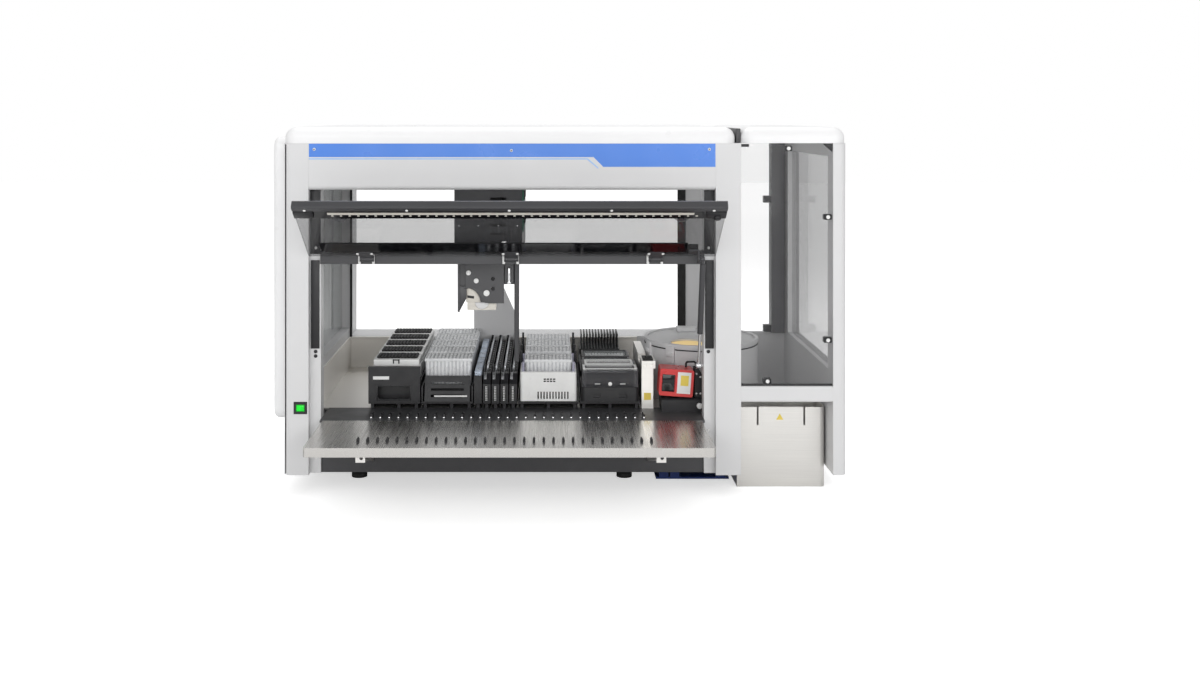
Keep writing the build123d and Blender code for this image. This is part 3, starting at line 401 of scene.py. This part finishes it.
def casing_screws():
    """Screws on the front of the casing and the dark seals beside the doors."""
    heads = Piece("casing_screws")
    for x, z in FASCIA_SCREWS:
        screw(heads, x, FRONT - 0.3, z)
    trim_front = limits("post_trims")[0][1] + 4
    for x in (-598, 372):
        for z in (154, 87, 605):
            screw(heads, x, trim_front, z)
    heads.done(WHITE_PLASTIC, bevel=0.3)
    hexes = Piece("casing_screw_sockets")
    for x, z in FASCIA_SCREWS:
        hexes.cone((x, FRONT - 2.9, z), (x, FRONT - 2.3, z), 1.8, 1.8, 6)
    hexes.done(BLACK)
    dark = Piece("seal_screws")
    for x, z in ((-599, 349), (-599, 338), (371, 349)):
        screw(dark, x, trim_front, z, 4.5)
    dark.done(BLACK, bevel=0.3)
    seals = Piece("door_seals")
    for node_x in ((-610, -589), (363, 384)):
        seals.box((node_x[0], trim_front - 4.6, 357), (node_x[1], trim_front - 0.2, 575))
        seals.box((node_x[0] - 2.6, trim_front - 1.0, 590), (node_x[1] + 2.6, trim_front - 0.1, 748))
    seals.done(BLACK, bevel=1.2)


def cover_gap():
    """Dark gasket in the joint between the two top covers."""
    x0, x1 = limits("top_cover")[1][0], limits("extension_cover")[0][0]
    z0, z1 = COVER_Z, limits("top_cover")[1][2]
    back = limits("extension_cover")[1][1]
    gap = Piece("roof_gasket")
    gap.box((x0 + 3, FRONT + 26, z0), (x1 - 0.3, back - 8, z1 - 3))
    gap.done(DARK, bevel=2, steps=3)


def window_edges():
    """Dark sealing strips down both sides of the rear window."""
    pane_back = limits("windows")[1][1]
    (x0, _, _), (x1, _, foot) = limits("rear_housing")
    top = COVER_Z - 2
    strips = Piece("window_edge_strips")
    for a, b in ((x0 + 0.5, x0 + 7), (x1 - 26, x1 - 2)):
        strips.box((a, pane_back - 14, foot), (b, pane_back - 9, top))
    strips.done(RUBBER, bevel=0.8)


def switch_light():
    """The lit lens of the power switch."""
    low, high = limits("power_button")
    lens = Piece("switch_lens")
    lens.box((low[0] + 2, low[1] - 0.4, low[2] + 2), (high[0] - 2, low[1] + 0.2, high[2] - 2))
    mat, tree, shader = new_material("lit_green")
    tree.links.new(varied(tree, noise(tree, 120.0), (0.0, 0.62, 0.02), 0.15), shader.inputs["Base Color"])
    shader.inputs["Emission Color"].default_value = (0.0, 0.55, 0.02, 1)
    shader.inputs["Emission Strength"].default_value = 0.5
    shader.inputs["Roughness"].default_value = 0.2
    lens.done(mat, "power_key", bevel=0.6)


# ---------------------------------------------------------------- hood details


def hood_trim():
    """Screws, corner tabs, latch, end caps and light strip, all on the swinging leaf."""
    left, right = FASCIA[0][0] + 2, FASCIA[1][0] - 2
    z_hinge = HINGE.z / MM
    inner = FRONT - 1
    free = z_hinge - 270
    heads = Piece("hood_screws")
    for n in range(5):
        screw(heads, -582 + 234 * n, inner + 7, free + 12, 3.4, "Y", 1)
    for x in HINGE_XS:
        for side in (-BRACKET_HALF, BRACKET_HALF):
            screw(heads, x + side, inner + 3, z_hinge - 32, 3.6, "Y", 1)
    heads.done(WHITE_PLASTIC, "hood", bevel=0.3, place=SWUNG)
    tabs = Piece("hood_tabs")
    for x in (-510, 284):
        tabs.prism([(x - 19, free + 58), (x + 19, free + 58), (x + 8, free + 80), (x - 4, free + 80)],
                   "Y", inner + 0.2, inner + 1.6)
    tabs.done(TINTED_LID, "hood", bevel=0.4, place=SWUNG)
    latch = Piece("hood_latch")
    latch.box((left + 6, inner + 0.3, free + 24), (left + 11, inner + 6, free + 56))
    latch.done(WHITE_PLASTIC, "hood", bevel=1, place=SWUNG)
    caps = Piece("hood_corner_caps")
    for x0, x1 in ((left + 0.2, left + 46), (right - 46, right - 0.2)):
        caps.box((x0, inner + 0.1, free + 20.5), (x1, inner + 9, free + 48))
    caps.cone((right - 20, inner + 8, free + 42), (right - 20, inner + 14, free + 42), 9, 8)
    caps.done(BLACK, "hood", bevel=1.5, place=SWUNG)
    rail = Piece("hood_light_strip")
    rail.box((left + 78, inner + 3.1, free + 30), (right - 74, inner + 4.6, free + 38))
    for n in range(43):
        x = left + 86 + 20 * n
        rail.box((x, inner + 3.1, free + 42), (x + 5, inner + 4.4, free + 46))
    rail.done(CREAM, "hood", place=SWUNG)


def hinge_bolts():
    """White sleeves below each hinge bracket, and a dark seal along the beam."""
    low, high = limits("cross_beam")
    bolts = Piece("hinge_sleeves")
    for x in HINGE_XS:
        for side in (x - SLEEVE_OFFSET, x + SLEEVE_OFFSET):
            bolts.cone((side, FRONT + 6, 567), (side, FRONT + 6, 590), 3.4)
    bolts.done(WHITE_PLASTIC, bevel=0.5)
    seal = Piece("beam_seal")
    seal.box((low[0] + 12, high[1] - 8, high[2] - 10), (high[0] - 12, high[1] - 4, high[2] + 14))
    seal.done(RUBBER, bevel=1)


# ---------------------------------------------------------------- arm and head


def arm_details():
    """The arm's circuit board and its chips, the rivets and the cable guide."""
    low, high = limits("arm_housing")
    body_top = 780
    board = Piece("arm_board")
    board.box((high[0] + 0.3, low[1] + 26, 640), (high[0] + 4, low[1] + 220, body_top - 20))
    board.box((low[0] - 3, low[1] + 30, 572), (low[0] - 0.2, low[1] + 120, 590))
    board.done(BOARD, "arm", bevel=0.4)
    chips = Piece("arm_chips")
    for n in range(7):
        y = low[1] + 40 + 24 * n
        chips.box((high[0] + 3.6, y, 660), (high[0] + 8, y + 14, 676 + 6 * (n % 3)))
        chips.box((high[0] + 3.6, y, 720), (high[0] + 7, y + 9, 738))
    chips.done(BLACK, "arm", bevel=0.4)
    front = low[1] + 25
    rivets = Piece("arm_rivets")
    for x in (low[0] + 12, low[0] + 60, high[0] - 60, high[0] - 12):
        for z in (600, 655, 712):
            screw(rivets, x, front, z, 2.4)
    rivets.done(POLISHED, "arm", bevel=0.2)
    conduit = Piece("arm_cable_guide")
    for n in range(16):
        x = low[0] + 36
        y = low[1] + 60 + 28 * n
        conduit.box((x, y, body_top + 0.4), (x + 34, y + 25, body_top + 20))
    conduit.done(BLACK, "arm", bevel=1.5)


def head_details():
    """Bolts, sockets, cylinder and rounded cup of the pipetting head."""
    low, high = limits("head_plates")
    front = low[1]
    big = Piece("head_bolts")
    for dx, z, r in ((27.5, 535, 6.2), (47, 515, 6.2), (73, 484, 7.6)):
        big.cone((low[0] + dx, front - 3, z), (low[0] + dx, front, z), r, r, 32)
        big.cone((low[0] + dx, front - 4, z), (low[0] + dx, front - 3, z), r * 0.55, r * 0.7, 24)
    big.done(WHITE_PLASTIC, "head", bevel=0.6)
    sockets = Piece("head_sockets")
    for dz in (520, 495):
        sockets.cone((low[0] + 89, front + 1.2, dz), (low[0] + 89, front + 7, dz), 4.8)
    sockets.done(GLOSS, "head")
    tube = Piece("head_cylinder")
    x = high[0] - 26
    tube.cone((x, front - 4, 512), (x, front - 4, 548), 4, 4, 24)
    tube.cone((x, front - 4, 508), (x, front - 4, 514), 6.5, 6.5, 24)
    tube.box((x - 3, front - 4, 516), (x + 3, front + 0.5, 546))
    tube.done(POLISHED, "head", bevel=0.4)
    web = Piece("head_corner_web")
    web.prism([(low[0], 501), (low[0] + 23, 501), (low[0] + 23, 472), (low[0] + 6, 440), (low[0], 440)],
              "Y", front + 1, front + 4)
    web.done(ANODISED, "head", bevel=0.5)
    cup = limits("head_cup")
    ax, az, radius = low[0] + 21, 460, 36
    shell = Piece("head_cup_shell")
    quarter = [7.5 * n for n in range(13)]
    shell.prism([(ax, az)] + arc(ax, az, radius, quarter), "Y", cup[0][1], cup[1][1])
    half = [180 + 15 * n for n in range(13)]
    shell.prism([(ax + 3, az), (ax + 22, az)] + arc(ax + 40, az, 18, half)
                + [(ax + 76, az), (ax + 76, 440), (ax + 3, 440)], "Y", cup[0][1], cup[1][1])
    shell.done(CREAM, "head", bevel=0.8, replaces=["head_cup"])
    recess = Piece("head_cup_recess")
    recess.box((ax + 21, cup[0][1] + 3, 441), (ax + 59, cup[0][1] + 9, 459))
    recess.done(GREY, "head", bevel=0.4)
    lap = Piece("head_plate_lap")
    lap.prism(arc(low[0] + 36, 456, 43, range(3, 116, 7)) + arc(ax, az, 37, range(92, -2, -6)),
              "Y", front + 0.3, front + 5.6)
    lap.done(HEAD_GREY, "head", bevel=0.2)
    marks = Piece("cup_marks")
    marks.box((ax + 3, cup[0][1] - 0.6, 470), (ax + 20, cup[0][1] + 0.6, 476.5),
              Matrix.Rotation(math.radians(8), 4, "Y"))
    marks.done(BLACK, "head", bevel=0.5)


# ---------------------------------------------------------------- labware


def tip_boxes():
    """Five white tip boxes with rows of black tips and a black catch in front."""
    (x0, y0, z0), (x1, _, z1) = limits("tip_racks")
    mid, pitch, length = (x0 + x1) / 2, 96.0, 84.0
    rim = z1 - 4
    shells = Piece("tip_boxes")
    decks = Piece("tip_box_plates")
    tips = Piece("black_tips")
    catches = Piece("tip_box_catches")
    for n in range(5):
        y = y0 + pitch * n
        shells.box((x0 + 0.5, y, z0), (x1 - 0.5, y + length, rim - 16))
        shells.box((x0 + 3, y + 1.5, rim - 16), (x1 - 3, y + length - 1.5, rim))
        decks.box((x0 + 11, y + 17, rim), (x1 - 9, y + 77, rim + 0.8))
        for i in range(TIP_COLUMNS):
            for j in range(7):
                x, yy = mid - 48.5 + 8.8 * i, y + 21.5 + 8.6 * j
                tips.cone((x, yy, rim + 0.4), (x, yy, z1), 3.9, 4.2, 8)
        for side in (-7, 7):
            catches.box((mid + side - 1.5, y - 1.5, rim - 10), (mid + side + 1.5, y + 0.5, rim + 1))
        catches.box((mid - 7, y - 1.5, rim - 2), (mid + 7, y + 0.5, rim + 0.5))
    shells.done(WHITE_PLASTIC, "tip_set", bevel=2, replaces=["tip_racks"])
    decks.done(BLACK, "tip_set", bevel=0.3)
    tips.done(RUBBER, "tip_set", bevel=0)
    catches.done(BLACK, "tip_set", bevel=0.3)


def frosted_boxes(node, body, name):
    """Racks of pale tips: twelve ridges across the top and down both ends."""
    for number, (low, high) in enumerate(solids_of(node), 1):
        x0, y0, z0 = low
        x1, y1, z1 = high
        mid, pitch = (x0 + x1) / 2, (x1 - x0 - 8) / TIP_COLUMNS
        # This grey block shows only between the ribs, as painted shade in the grooves.
        shade_core = Piece(f"{name}_core_{number}")
        shade_core.box((x0 + 3, y0 + 4, z0 + 0.5), (x1 - 3, y1 - 4, z1 - 3.4))
        shade_core.box((x0 + 1, y0 + 2.2, z1 - 9), (x1 - 1, y1 - 2.2, z1 - 3))
        shade_core.done(GROOVE_SHADE, body, bevel=0.5)
        ribs = Piece(f"{name}_ribs_{number}")
        feet = Piece(f"{name}_feet_{number}")
        ribs.box((x0 + 0.4, y0 + 0.4, z1 - 9), (x1 - 0.4, y0 + 3.6, z1 - 1.4))
        ribs.box((x0 + 0.4, y1 - 5, z1 - 9), (x1 - 0.4, y1 - 2.2, z1 - 1.4))
        ribs.box((x0 + 0.4, y0 + 1, z1 - 10), (x0 + 3.2, y1 - 3, z1 - 1.4))
        ribs.box((x1 - 3.2, y0 + 1, z1 - 10), (x1 - 0.4, y1 - 3, z1 - 1.4))
        for n in range(TIP_COLUMNS):
            x = mid + pitch * (n - (TIP_COLUMNS - 1) / 2)
            ribs.box((x - pitch * 0.36, y0 + 1, z1 - 8), (x + pitch * 0.36, y1 - 3, z1 - 0.6))
            for y in (y0 + 4.6, y1 - 4.6):
                ribs.cone((x, y, z0 + 7), (x, y, z1 - 8), pitch * 0.40, pitch * 0.47, 12)
                ribs.cone((x, y, z0 + 0.6), (x, y, z0 + 7), pitch * 0.16, pitch * 0.40, 12)
            feet.cone((x, y0 + 1.4, z0 + 3.4), (x, y0 + 2.6, z0 + 3.4), 1.5, 1.5, 10)
        feet.done(RUBBER, body)
        yield ribs.done(FROSTED, body, bevel=1.0)


def solids_of(node):
    """The corner pairs of the separate solids in a CAD node, sorted front to back."""
    data = nodes[node].data
    mesh = bmesh.new()
    mesh.from_mesh(data)
    bmesh.ops.remove_doubles(mesh, verts=mesh.verts, dist=1e-6)
    left = set(mesh.verts)
    boxes = []
    while left:
        stack, group = [left.pop()], []
        while stack:
            vert = stack.pop()
            group.append(vert.co / MM)
            for edge in vert.link_edges:
                other = edge.other_vert(vert)
                if other in left:
                    left.remove(other)
                    stack.append(other)
        boxes.append(([min(c[k] for c in group) for k in range(3)],
                      [max(c[k] for c in group) for k in range(3)]))
    mesh.free()
    return sorted(boxes, key=lambda b: (round(b[0][1]), b[0][0]))


def frosted_sets():
    """Pale tip racks in place of the two plain CAD rack nodes."""
    for node, body, name in (("ribbed_racks", "rack_set", "rack"),
                             ("heater_racks", "heater_set", "heater_rack")):
        made = list(frosted_boxes(node, body, name))
        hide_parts(node)


def carrier_trim():
    """Blank labels, window liners, tiles, blades and other small parts of the carriers."""
    low, high = limits("tip_carrier")
    label = Piece("tip_carrier_label")
    label.box((low[0] + 12, low[1] - 0.4, 258), (low[0] + 53, low[1] + 0.2, 266))
    label.done(LABEL, "tip_set")
    rims = Piece("tip_carrier_window_rim")
    for x0, x1, z0, z1 in ((24, 106, 240, 243), (24, 106, 204, 207),
                           (21, 24, 204, 243), (106, 109, 204, 243)):
        rims.box((low[0] + x0, low[1] - 1.2, z0), (low[0] + x1, low[1] + 0.3, z1))
    rims.done(BLACK, "tip_set", bevel=0.5)
    low, high = limits("rack_carrier")
    strip = Piece("rack_carrier_label")
    strip.box((low[0] + 33, low[1] - 0.3, 213.6), (high[0] - 15, low[1] + 0.3, 217.4))
    strip.done(LABEL, "rack_set")
    low, high = limits("tile_carrier")
    tiles = Piece("reagent_tiles")
    for n in range(7):
        y = low[1] + 4 + 70 * n
        tiles.box((low[0] + 0.8, y, 266), (high[0] - 0.8, y + 66, 276.6))
    tiles.done(TILE, "tile_set", bevel=1.2)
    low, high = limits("slim_carriers")
    blades = Piece("carrier_blades")
    sides = Piece("carrier_labels")
    clips = Piece("carrier_spring_clips")
    for n in range(4):
        x0 = low[0] + 22.5 * n
        blades.prism([(low[1] + 12, 256), (high[1] - 7, 256), (high[1] - 7, 284.0), (low[1] + 62, 284.0),
                      (low[1] + 30, 273)], "X", x0 + 1.4, x0 + 8.8)
        for m in range(15):
            y = low[1] + 62 + 30 * m
            blades.box((x0 + 8.8, y, 268.2), (x0 + 11.5, y + 24, 281))
        for m in range(9):
            z = 204 + 4.2 * m
            for gap, wide in ((6.6, 2.2), (9.8, 1.2)):
                sides.box((x0 + gap, low[1] - 0.3, z), (x0 + gap + wide, low[1] + 0.3, z + 2.6))
        for m in range(14):
            y = low[1] + 66 + 31 * m
            clips.box((x0 + 13.2, y, 268), (x0 + 18.2, y + 16, 272))
    blades.done(BLADE, "slim_set", bevel=0.8)
    sides.done(LABEL, "slim_set")
    clips.done(DARK, "slim_set", bevel=0.5)


def module_trim():
    """Heater and filter modules: slots, posts, lid, plates and wells."""
    low, high = limits("heater_module")
    posts = Piece("heater_posts")
    for x in (low[0] + 5, high[0] - 11):
        for y in (low[1] + 8, low[1] + 122):
            posts.box((x - 0.3, y - 0.3, 276.2), (x + 6.3, y + 6.3, 300.4))
    posts.done(pane("violet_pane", (0.16, 0.15, 0.30), 0.5), "heater_set", bevel=0.8)
    slots = Piece("heater_vents")
    for n in range(11):
        x = low[0] + 46 + 7.6 * n
        slots.box((x - 1.6, low[1] + 4, 207.5), (x + 1.6, low[1] + 5.6, 225.5))
    for n in range(4):
        for m in range(2):
            x, z = low[0] + 60 + 8 * n, 251 + 5.4 * m
            slots.box((x, low[1] - 0.3, z), (x + 6, low[1] + 0.5, z + 3.4))
    slots.done(GLOSS, "heater_set")
    low, high = limits("cooler_module")
    lid = Piece("filter_lid")
    lid.box((low[0] + 1.5, low[1] + 1.5, 239), (high[0] - 1.5, low[1] + 3, 284))
    lid.box((low[0] + 12, low[1] + 12, 281), (high[0] - 12, low[1] + 128, 284.6))
    lid.done(TINTED_LID, "cooler_set", bevel=1)
    edge = Piece("filter_lid_edges")
    for y0, y1, inset in ((low[1] + 3, low[1] + 60, 4), (low[1] + 70, low[1] + 128, 10)):
        x0, x1 = low[0] + inset, high[0] - inset
        edge.box((x0, y0, 279.4), (x1, y0 + 5, 285.4))
        edge.box((x0, y1 - 6, 279.4), (x1, y1, 285.4))
        edge.box((x0, y0 + 4, 279.4), (x0 + 6, y1 - 5, 285.4))
        edge.box((x1 - 6, y0 + 4, 279.4), (x1, y1 - 5, 285.4))
    for x in (low[0] + 34, high[0] - 48):
        edge.box((x, low[1] - 0.2, 246), (x + 14, low[1] + 1.2, 248))
    mid = (low[0] + high[0]) / 2
    edge.cone((mid, low[1] - 0.4, 247), (mid, low[1] + 1, 247), 5, 5, 24)
    edge.done(WHITE_PLASTIC, "cooler_set", bevel=0.8)
    plates = Piece("filter_plates")
    car = limits("cooler_carrier")
    for n in range(2):
        y = car[0][1] + 158 + 104 * n
        plates.box((car[0][0] + 19, y + 7, 262), (car[1][0] - 19, y + 89, 266))
    plates.done(CLEAR, "cooler_set", bevel=1)
    wells = Piece("filter_wells")
    for n in range(2):
        y = car[0][1] + 158 + 104 * n
        for i in range(12):
            for j in range(8):
                x = (car[0][0] + car[1][0]) / 2 + WELL_PITCH * (i - 5.5)
                yy = y + 16 + WELL_PITCH * j
                wells.ring((x, yy, 252), (x, yy, 261), 3.8, 3.2, 12)
    wells.done(FROSTED, "cooler_set")


def device_trim():
    """Chute pad, scanner panel and labels, centrifuge latches."""
    low = limits("waste_chute")[0]
    pad = Piece("chute_pad")
    pad.box((low[0] + 4, low[1] + 6, 305), (low[0] + 30, low[1] + 62, 308))
    pad.cone((low[0] + 18, low[1] + 34, 307), (low[0] + 18, low[1] + 34, 311), 8, 7)
    pad.done(RUBBER, bevel=0.6)
    patch = Piece("chute_patch")
    patch.box((low[0] + 6, low[1] + 3.4, 205), (low[0] + 24, low[1] + 4.1, 223))
    patch.done(YELLOW)
    tilt = Matrix.Rotation(math.radians(4), 4, "Y")
    scan_low, scan_high = limits("scanner_body")
    mid = Vector(((scan_low[0] + scan_high[0]) / 2, scan_low[1], (scan_low[2] + scan_high[2]) / 2)) * MM
    place = Matrix.Translation(mid) @ tilt
    panel = Piece("scanner_window")
    panel.box((-36, -1.2, -23), (-5, 1.4, 20))
    panel.done(GLOSS, bevel=0.8, place=place)
    blank = Piece("scanner_label")
    blank.box((2, -0.5, -26), (36, 0.3, 28))
    blank.done(LABEL, place=place)
    yellow = Piece("scanner_label_patch")
    yellow.box((10, -0.8, -6), (30, -0.4, 20))
    yellow.done(YELLOW, place=place)
    bolts = Piece("scanner_screws")
    base = limits("scanner_base")
    for x, z in ((52, 226), (62, 226), (52, 276), (62, 268)):
        screw(bolts, 300 + x, base[0][1] + 22, z, 2.6)
    bolts.cone((357, base[0][1] - 6, 200), (357, base[0][1], 200), 7, 7.5, 28)
    bolts.done(WHITE_PLASTIC, bevel=0.6)
    lid_low, lid_high = limits("centrifuge_lid")
    cx, cy = (lid_low[0] + lid_high[0]) / 2, (lid_low[1] + lid_high[1]) / 2
    radius = (lid_high[0] - lid_low[0]) / 2
    latches = Piece("centrifuge_latches")
    for angle in (200, 232):
        a = math.radians(angle)
        out = Vector((math.cos(a), math.sin(a), 0))
        spin = Matrix.Rotation(a, 4, "Z")
        spot = Vector((cx, cy, 306)) + out * (radius - 0.5)
        for centre, half in ((spot, Vector((4, 13, 22))), (spot + out * 5, Vector((3, 9, 5)))):
            latches.box(centre - half, centre + half, spin)
    latches.box((cx - 56, cy + 84, lid_high[2] - 3.8), (cx - 4, cy + 118, lid_high[2] + 8))
    latches.done(GREY, bevel=1.5)
    # Amber liner inside the centrifuge bowl; its emission is painted light, a glow that stands in for light
    # falling into the bowl through the lid opening.
    liner = Piece("bowl_liner")
    liner.ring((cx, cy, 250), (cx, cy, 322), 141, 139, 72)
    mat, tree, shader = new_material("bowl_liner_painted_glow")
    tree.links.new(varied(tree, noise(tree, 18.0), (0.86, 0.72, 0.42), 0.05), shader.inputs["Base Color"])
    shader.inputs["Emission Color"].default_value = (0.86, 0.70, 0.40, 1)
    shader.inputs["Emission Strength"].default_value = 0.5
    shader.inputs["Roughness"].default_value = 0.4
    liner.done(mat)
    seam = Piece("centrifuge_seam")
    seam.ring((cx, cy, 318), (cx, cy, 321), radius - 0.6, radius - 4, 72)
    seam.done(BLACK)


# ---------------------------------------------------------------- extension


def extension_trim():
    """Clip heads and dark edges of the extension's panes, the bin's sign and latches."""
    front = limits("extension_panes")[0][1]
    heads = Piece("clip_heads")
    for x, z in ((567, COVER_Z - 13), (664, 682), (664, 379), (515, 278)):
        heads.cone((x, front - 1.6, z), (x, front, z), 4.5, 5, 24)
    heads.done(WHITE_PLASTIC, bevel=0.5)
    trim = Piece("pane_trim")
    x0, x1 = BODY[1] + 1, limits("extension_bar")[1][0] - 1
    bar_top = limits("extension_bar")[1][2]
    trim.box((x0, front + 0.4, bar_top + 0.2), (x1, front + 6, bar_top + 5))
    trim.box((x0, front - 3, COVER_Z - 9), (x0 + 19, front, COVER_Z - 2))
    trim.prism([(x1 - 24, COVER_Z - 1), (x1, COVER_Z - 1), (x1, COVER_Z - 22)], "Y", front - 2, front)
    trim.done(BLACK, bevel=1)
    bin_low, bin_high = limits("waste_bin")
    patch = Piece("bin_patch")
    patch.prism([(548, 168), (566, 168), (557, 184)], "Y", bin_low[1] - 0.3, bin_low[1] + 0.1)
    patch.done(YELLOW, "bin")
    works = Piece("bin_latch_works")
    x = limits("extension_side_frame")[0][0]
    for n in range(5):
        y = bin_high[1] + 40 + 26 * n
        works.box((x - 9, y, 90 + 18 * (n % 2)), (x - 0.3, y + 20, 170))
    works.done(BLACK, bevel=1.5)


def track_heads():
    """Bright heads in front of the rail pins, and round bosses behind them."""
    heads = Piece("pin_heads")
    rings = Piece("pin_rings")
    for low, high in solids_of("track_pins"):
        x = (low[0] + high[0]) / 2
        if low[1] > FRONT:
            heads.cone((x, low[1] - 7, DECK), (x, low[1] - 7, DECK + 4), 3.4, 3.0, 16)
            rings.cone((x, high[1] + 8, DECK), (x, high[1] + 8, DECK + 1.5), 3.6, 3.6, 16)
        else:
            rings.cone((x, low[1] - 5, DECK), (x, low[1] - 5, DECK + 1.2), 2.6, 2.6, 14)
    heads.done(POLISHED, bevel=0.4)
    rings.done(DARK)


fascia_stripe()
casing_screws()
cover_gap()
window_edges()
switch_light()
hood_trim()
hinge_bolts()
arm_details()
head_details()
tip_boxes()
frosted_sets()
carrier_trim()
module_trim()
device_trim()
extension_trim()
track_heads()

# ---------------------------------------------------------------- studio


def floor():
    """A wide studio floor under the machine."""
    data = bpy.data.meshes.new("floor")
    size = 14.0
    corners = [(-size, -size, 0), (size, -size, 0), (size, size, 0), (-size, size, 0)]
    data.from_pydata(corners, [], [(0, 1, 2, 3)])
    obj = bpy.data.objects.new("floor", data)
    bpy.context.scene.collection.objects.link(obj)
    mat = bpy.data.materials.new("floor_white")
    mat.use_nodes = True
    tree = mat.node_tree
    shader = tree.nodes["Principled BSDF"]
    shader.inputs["Base Color"].default_value = (0.86, 0.86, 0.86, 1)
    shader.inputs["Roughness"].default_value = 0.9
    shader.inputs["Specular IOR Level"].default_value = 0.0
    ray = tree.nodes.new("ShaderNodeLightPath")
    glow = tree.nodes.new("ShaderNodeEmission")
    glow.inputs["Color"].default_value = (1, 1, 1, 1)
    either = tree.nodes.new("ShaderNodeMath")
    either.operation = "MAXIMUM"
    tree.links.new(ray.outputs["Is Camera Ray"], either.inputs[0])
    tree.links.new(ray.outputs["Is Transmission Ray"], either.inputs[1])
    scaled = tree.nodes.new("ShaderNodeMath")
    scaled.operation = "MULTIPLY"
    scaled.inputs[1].default_value = 0.56
    tree.links.new(either.outputs[0], scaled.inputs[0])
    tree.links.new(scaled.outputs[0], glow.inputs["Strength"])
    add = tree.nodes.new("ShaderNodeAddShader")
    tree.links.new(shader.outputs[0], add.inputs[0])
    tree.links.new(glow.outputs[0], add.inputs[1])
    tree.links.new(add.outputs[0], tree.nodes["Material Output"].inputs["Surface"])
    data.materials.append(mat)


def world():
    """A white world, brighter to the camera than to what it lights."""
    scene = bpy.context.scene
    sky = bpy.data.worlds.new("studio")
    scene.world = sky
    sky.use_nodes = True
    tree = sky.node_tree
    back = tree.nodes["Background"]
    back.inputs["Color"].default_value = (1, 1, 1, 1)
    ray = tree.nodes.new("ShaderNodeLightPath")
    most = tree.nodes.new("ShaderNodeMath")
    most.operation = "MAXIMUM"
    tree.links.new(ray.outputs["Is Camera Ray"], most.inputs[0])
    tree.links.new(ray.outputs["Is Transmission Ray"], most.inputs[1])
    scale = tree.nodes.new("ShaderNodeMapRange")
    scale.inputs["To Min"].default_value = 0.62
    scale.inputs["To Max"].default_value = 1.0
    tree.links.new(most.outputs[0], scale.inputs["Value"])
    tree.links.new(scale.outputs["Result"], back.inputs["Strength"])


def lamp(name, place, target, size, power):
    """A rectangular area light at a place, aimed at a target, in metres and watts."""
    data = bpy.data.lights.new(name, "AREA")
    data.shape = "RECTANGLE"
    data.size, data.size_y = size
    data.energy = power
    obj = bpy.data.objects.new(name, data)
    obj.location = place
    obj.rotation_euler = (Vector(target) - Vector(place)).to_track_quat("-Z", "Y").to_euler()
    bpy.context.scene.collection.objects.link(obj)


def camera():
    """The camera, placed and shifted as in the photograph."""
    data = bpy.data.cameras.new("camera")
    data.sensor_width = 36
    data.lens = 38.3
    data.shift_x = 0.045
    data.shift_y = -0.186
    obj = bpy.data.objects.new("camera", data)
    obj.location = (-0.030, -3.402, 0.935)
    obj.rotation_euler = (math.radians(90), 0, 0)
    bpy.context.scene.collection.objects.link(obj)
    bpy.context.scene.camera = obj


# Soft boxes in front light the deck through the opening; the one behind stays high so that
# the tray doesn't mirror it.
floor()
world()
lamp("key", (-1.6, -3.6, 2.0), (0, 0, 0.4), (2.6, 1.8), 30)
lamp("fill", (1.8, -3.2, 1.5), (0, 0, 0.4), (2.0, 1.6), 22)
lamp("front", (0, -3.8, 0.8), (0, 0, 0.4), (2.4, 0.8), 18)
lamp("top", (0, 0.2, 3.2), (0, 0, 0), (3.0, 2.4), 22)
lamp("behind", (0, 2.2, 3.2), (0, 0, 0.3), (2.6, 1.4), 40)
camera()
bpy.context.scene.view_settings.view_transform = "Standard"
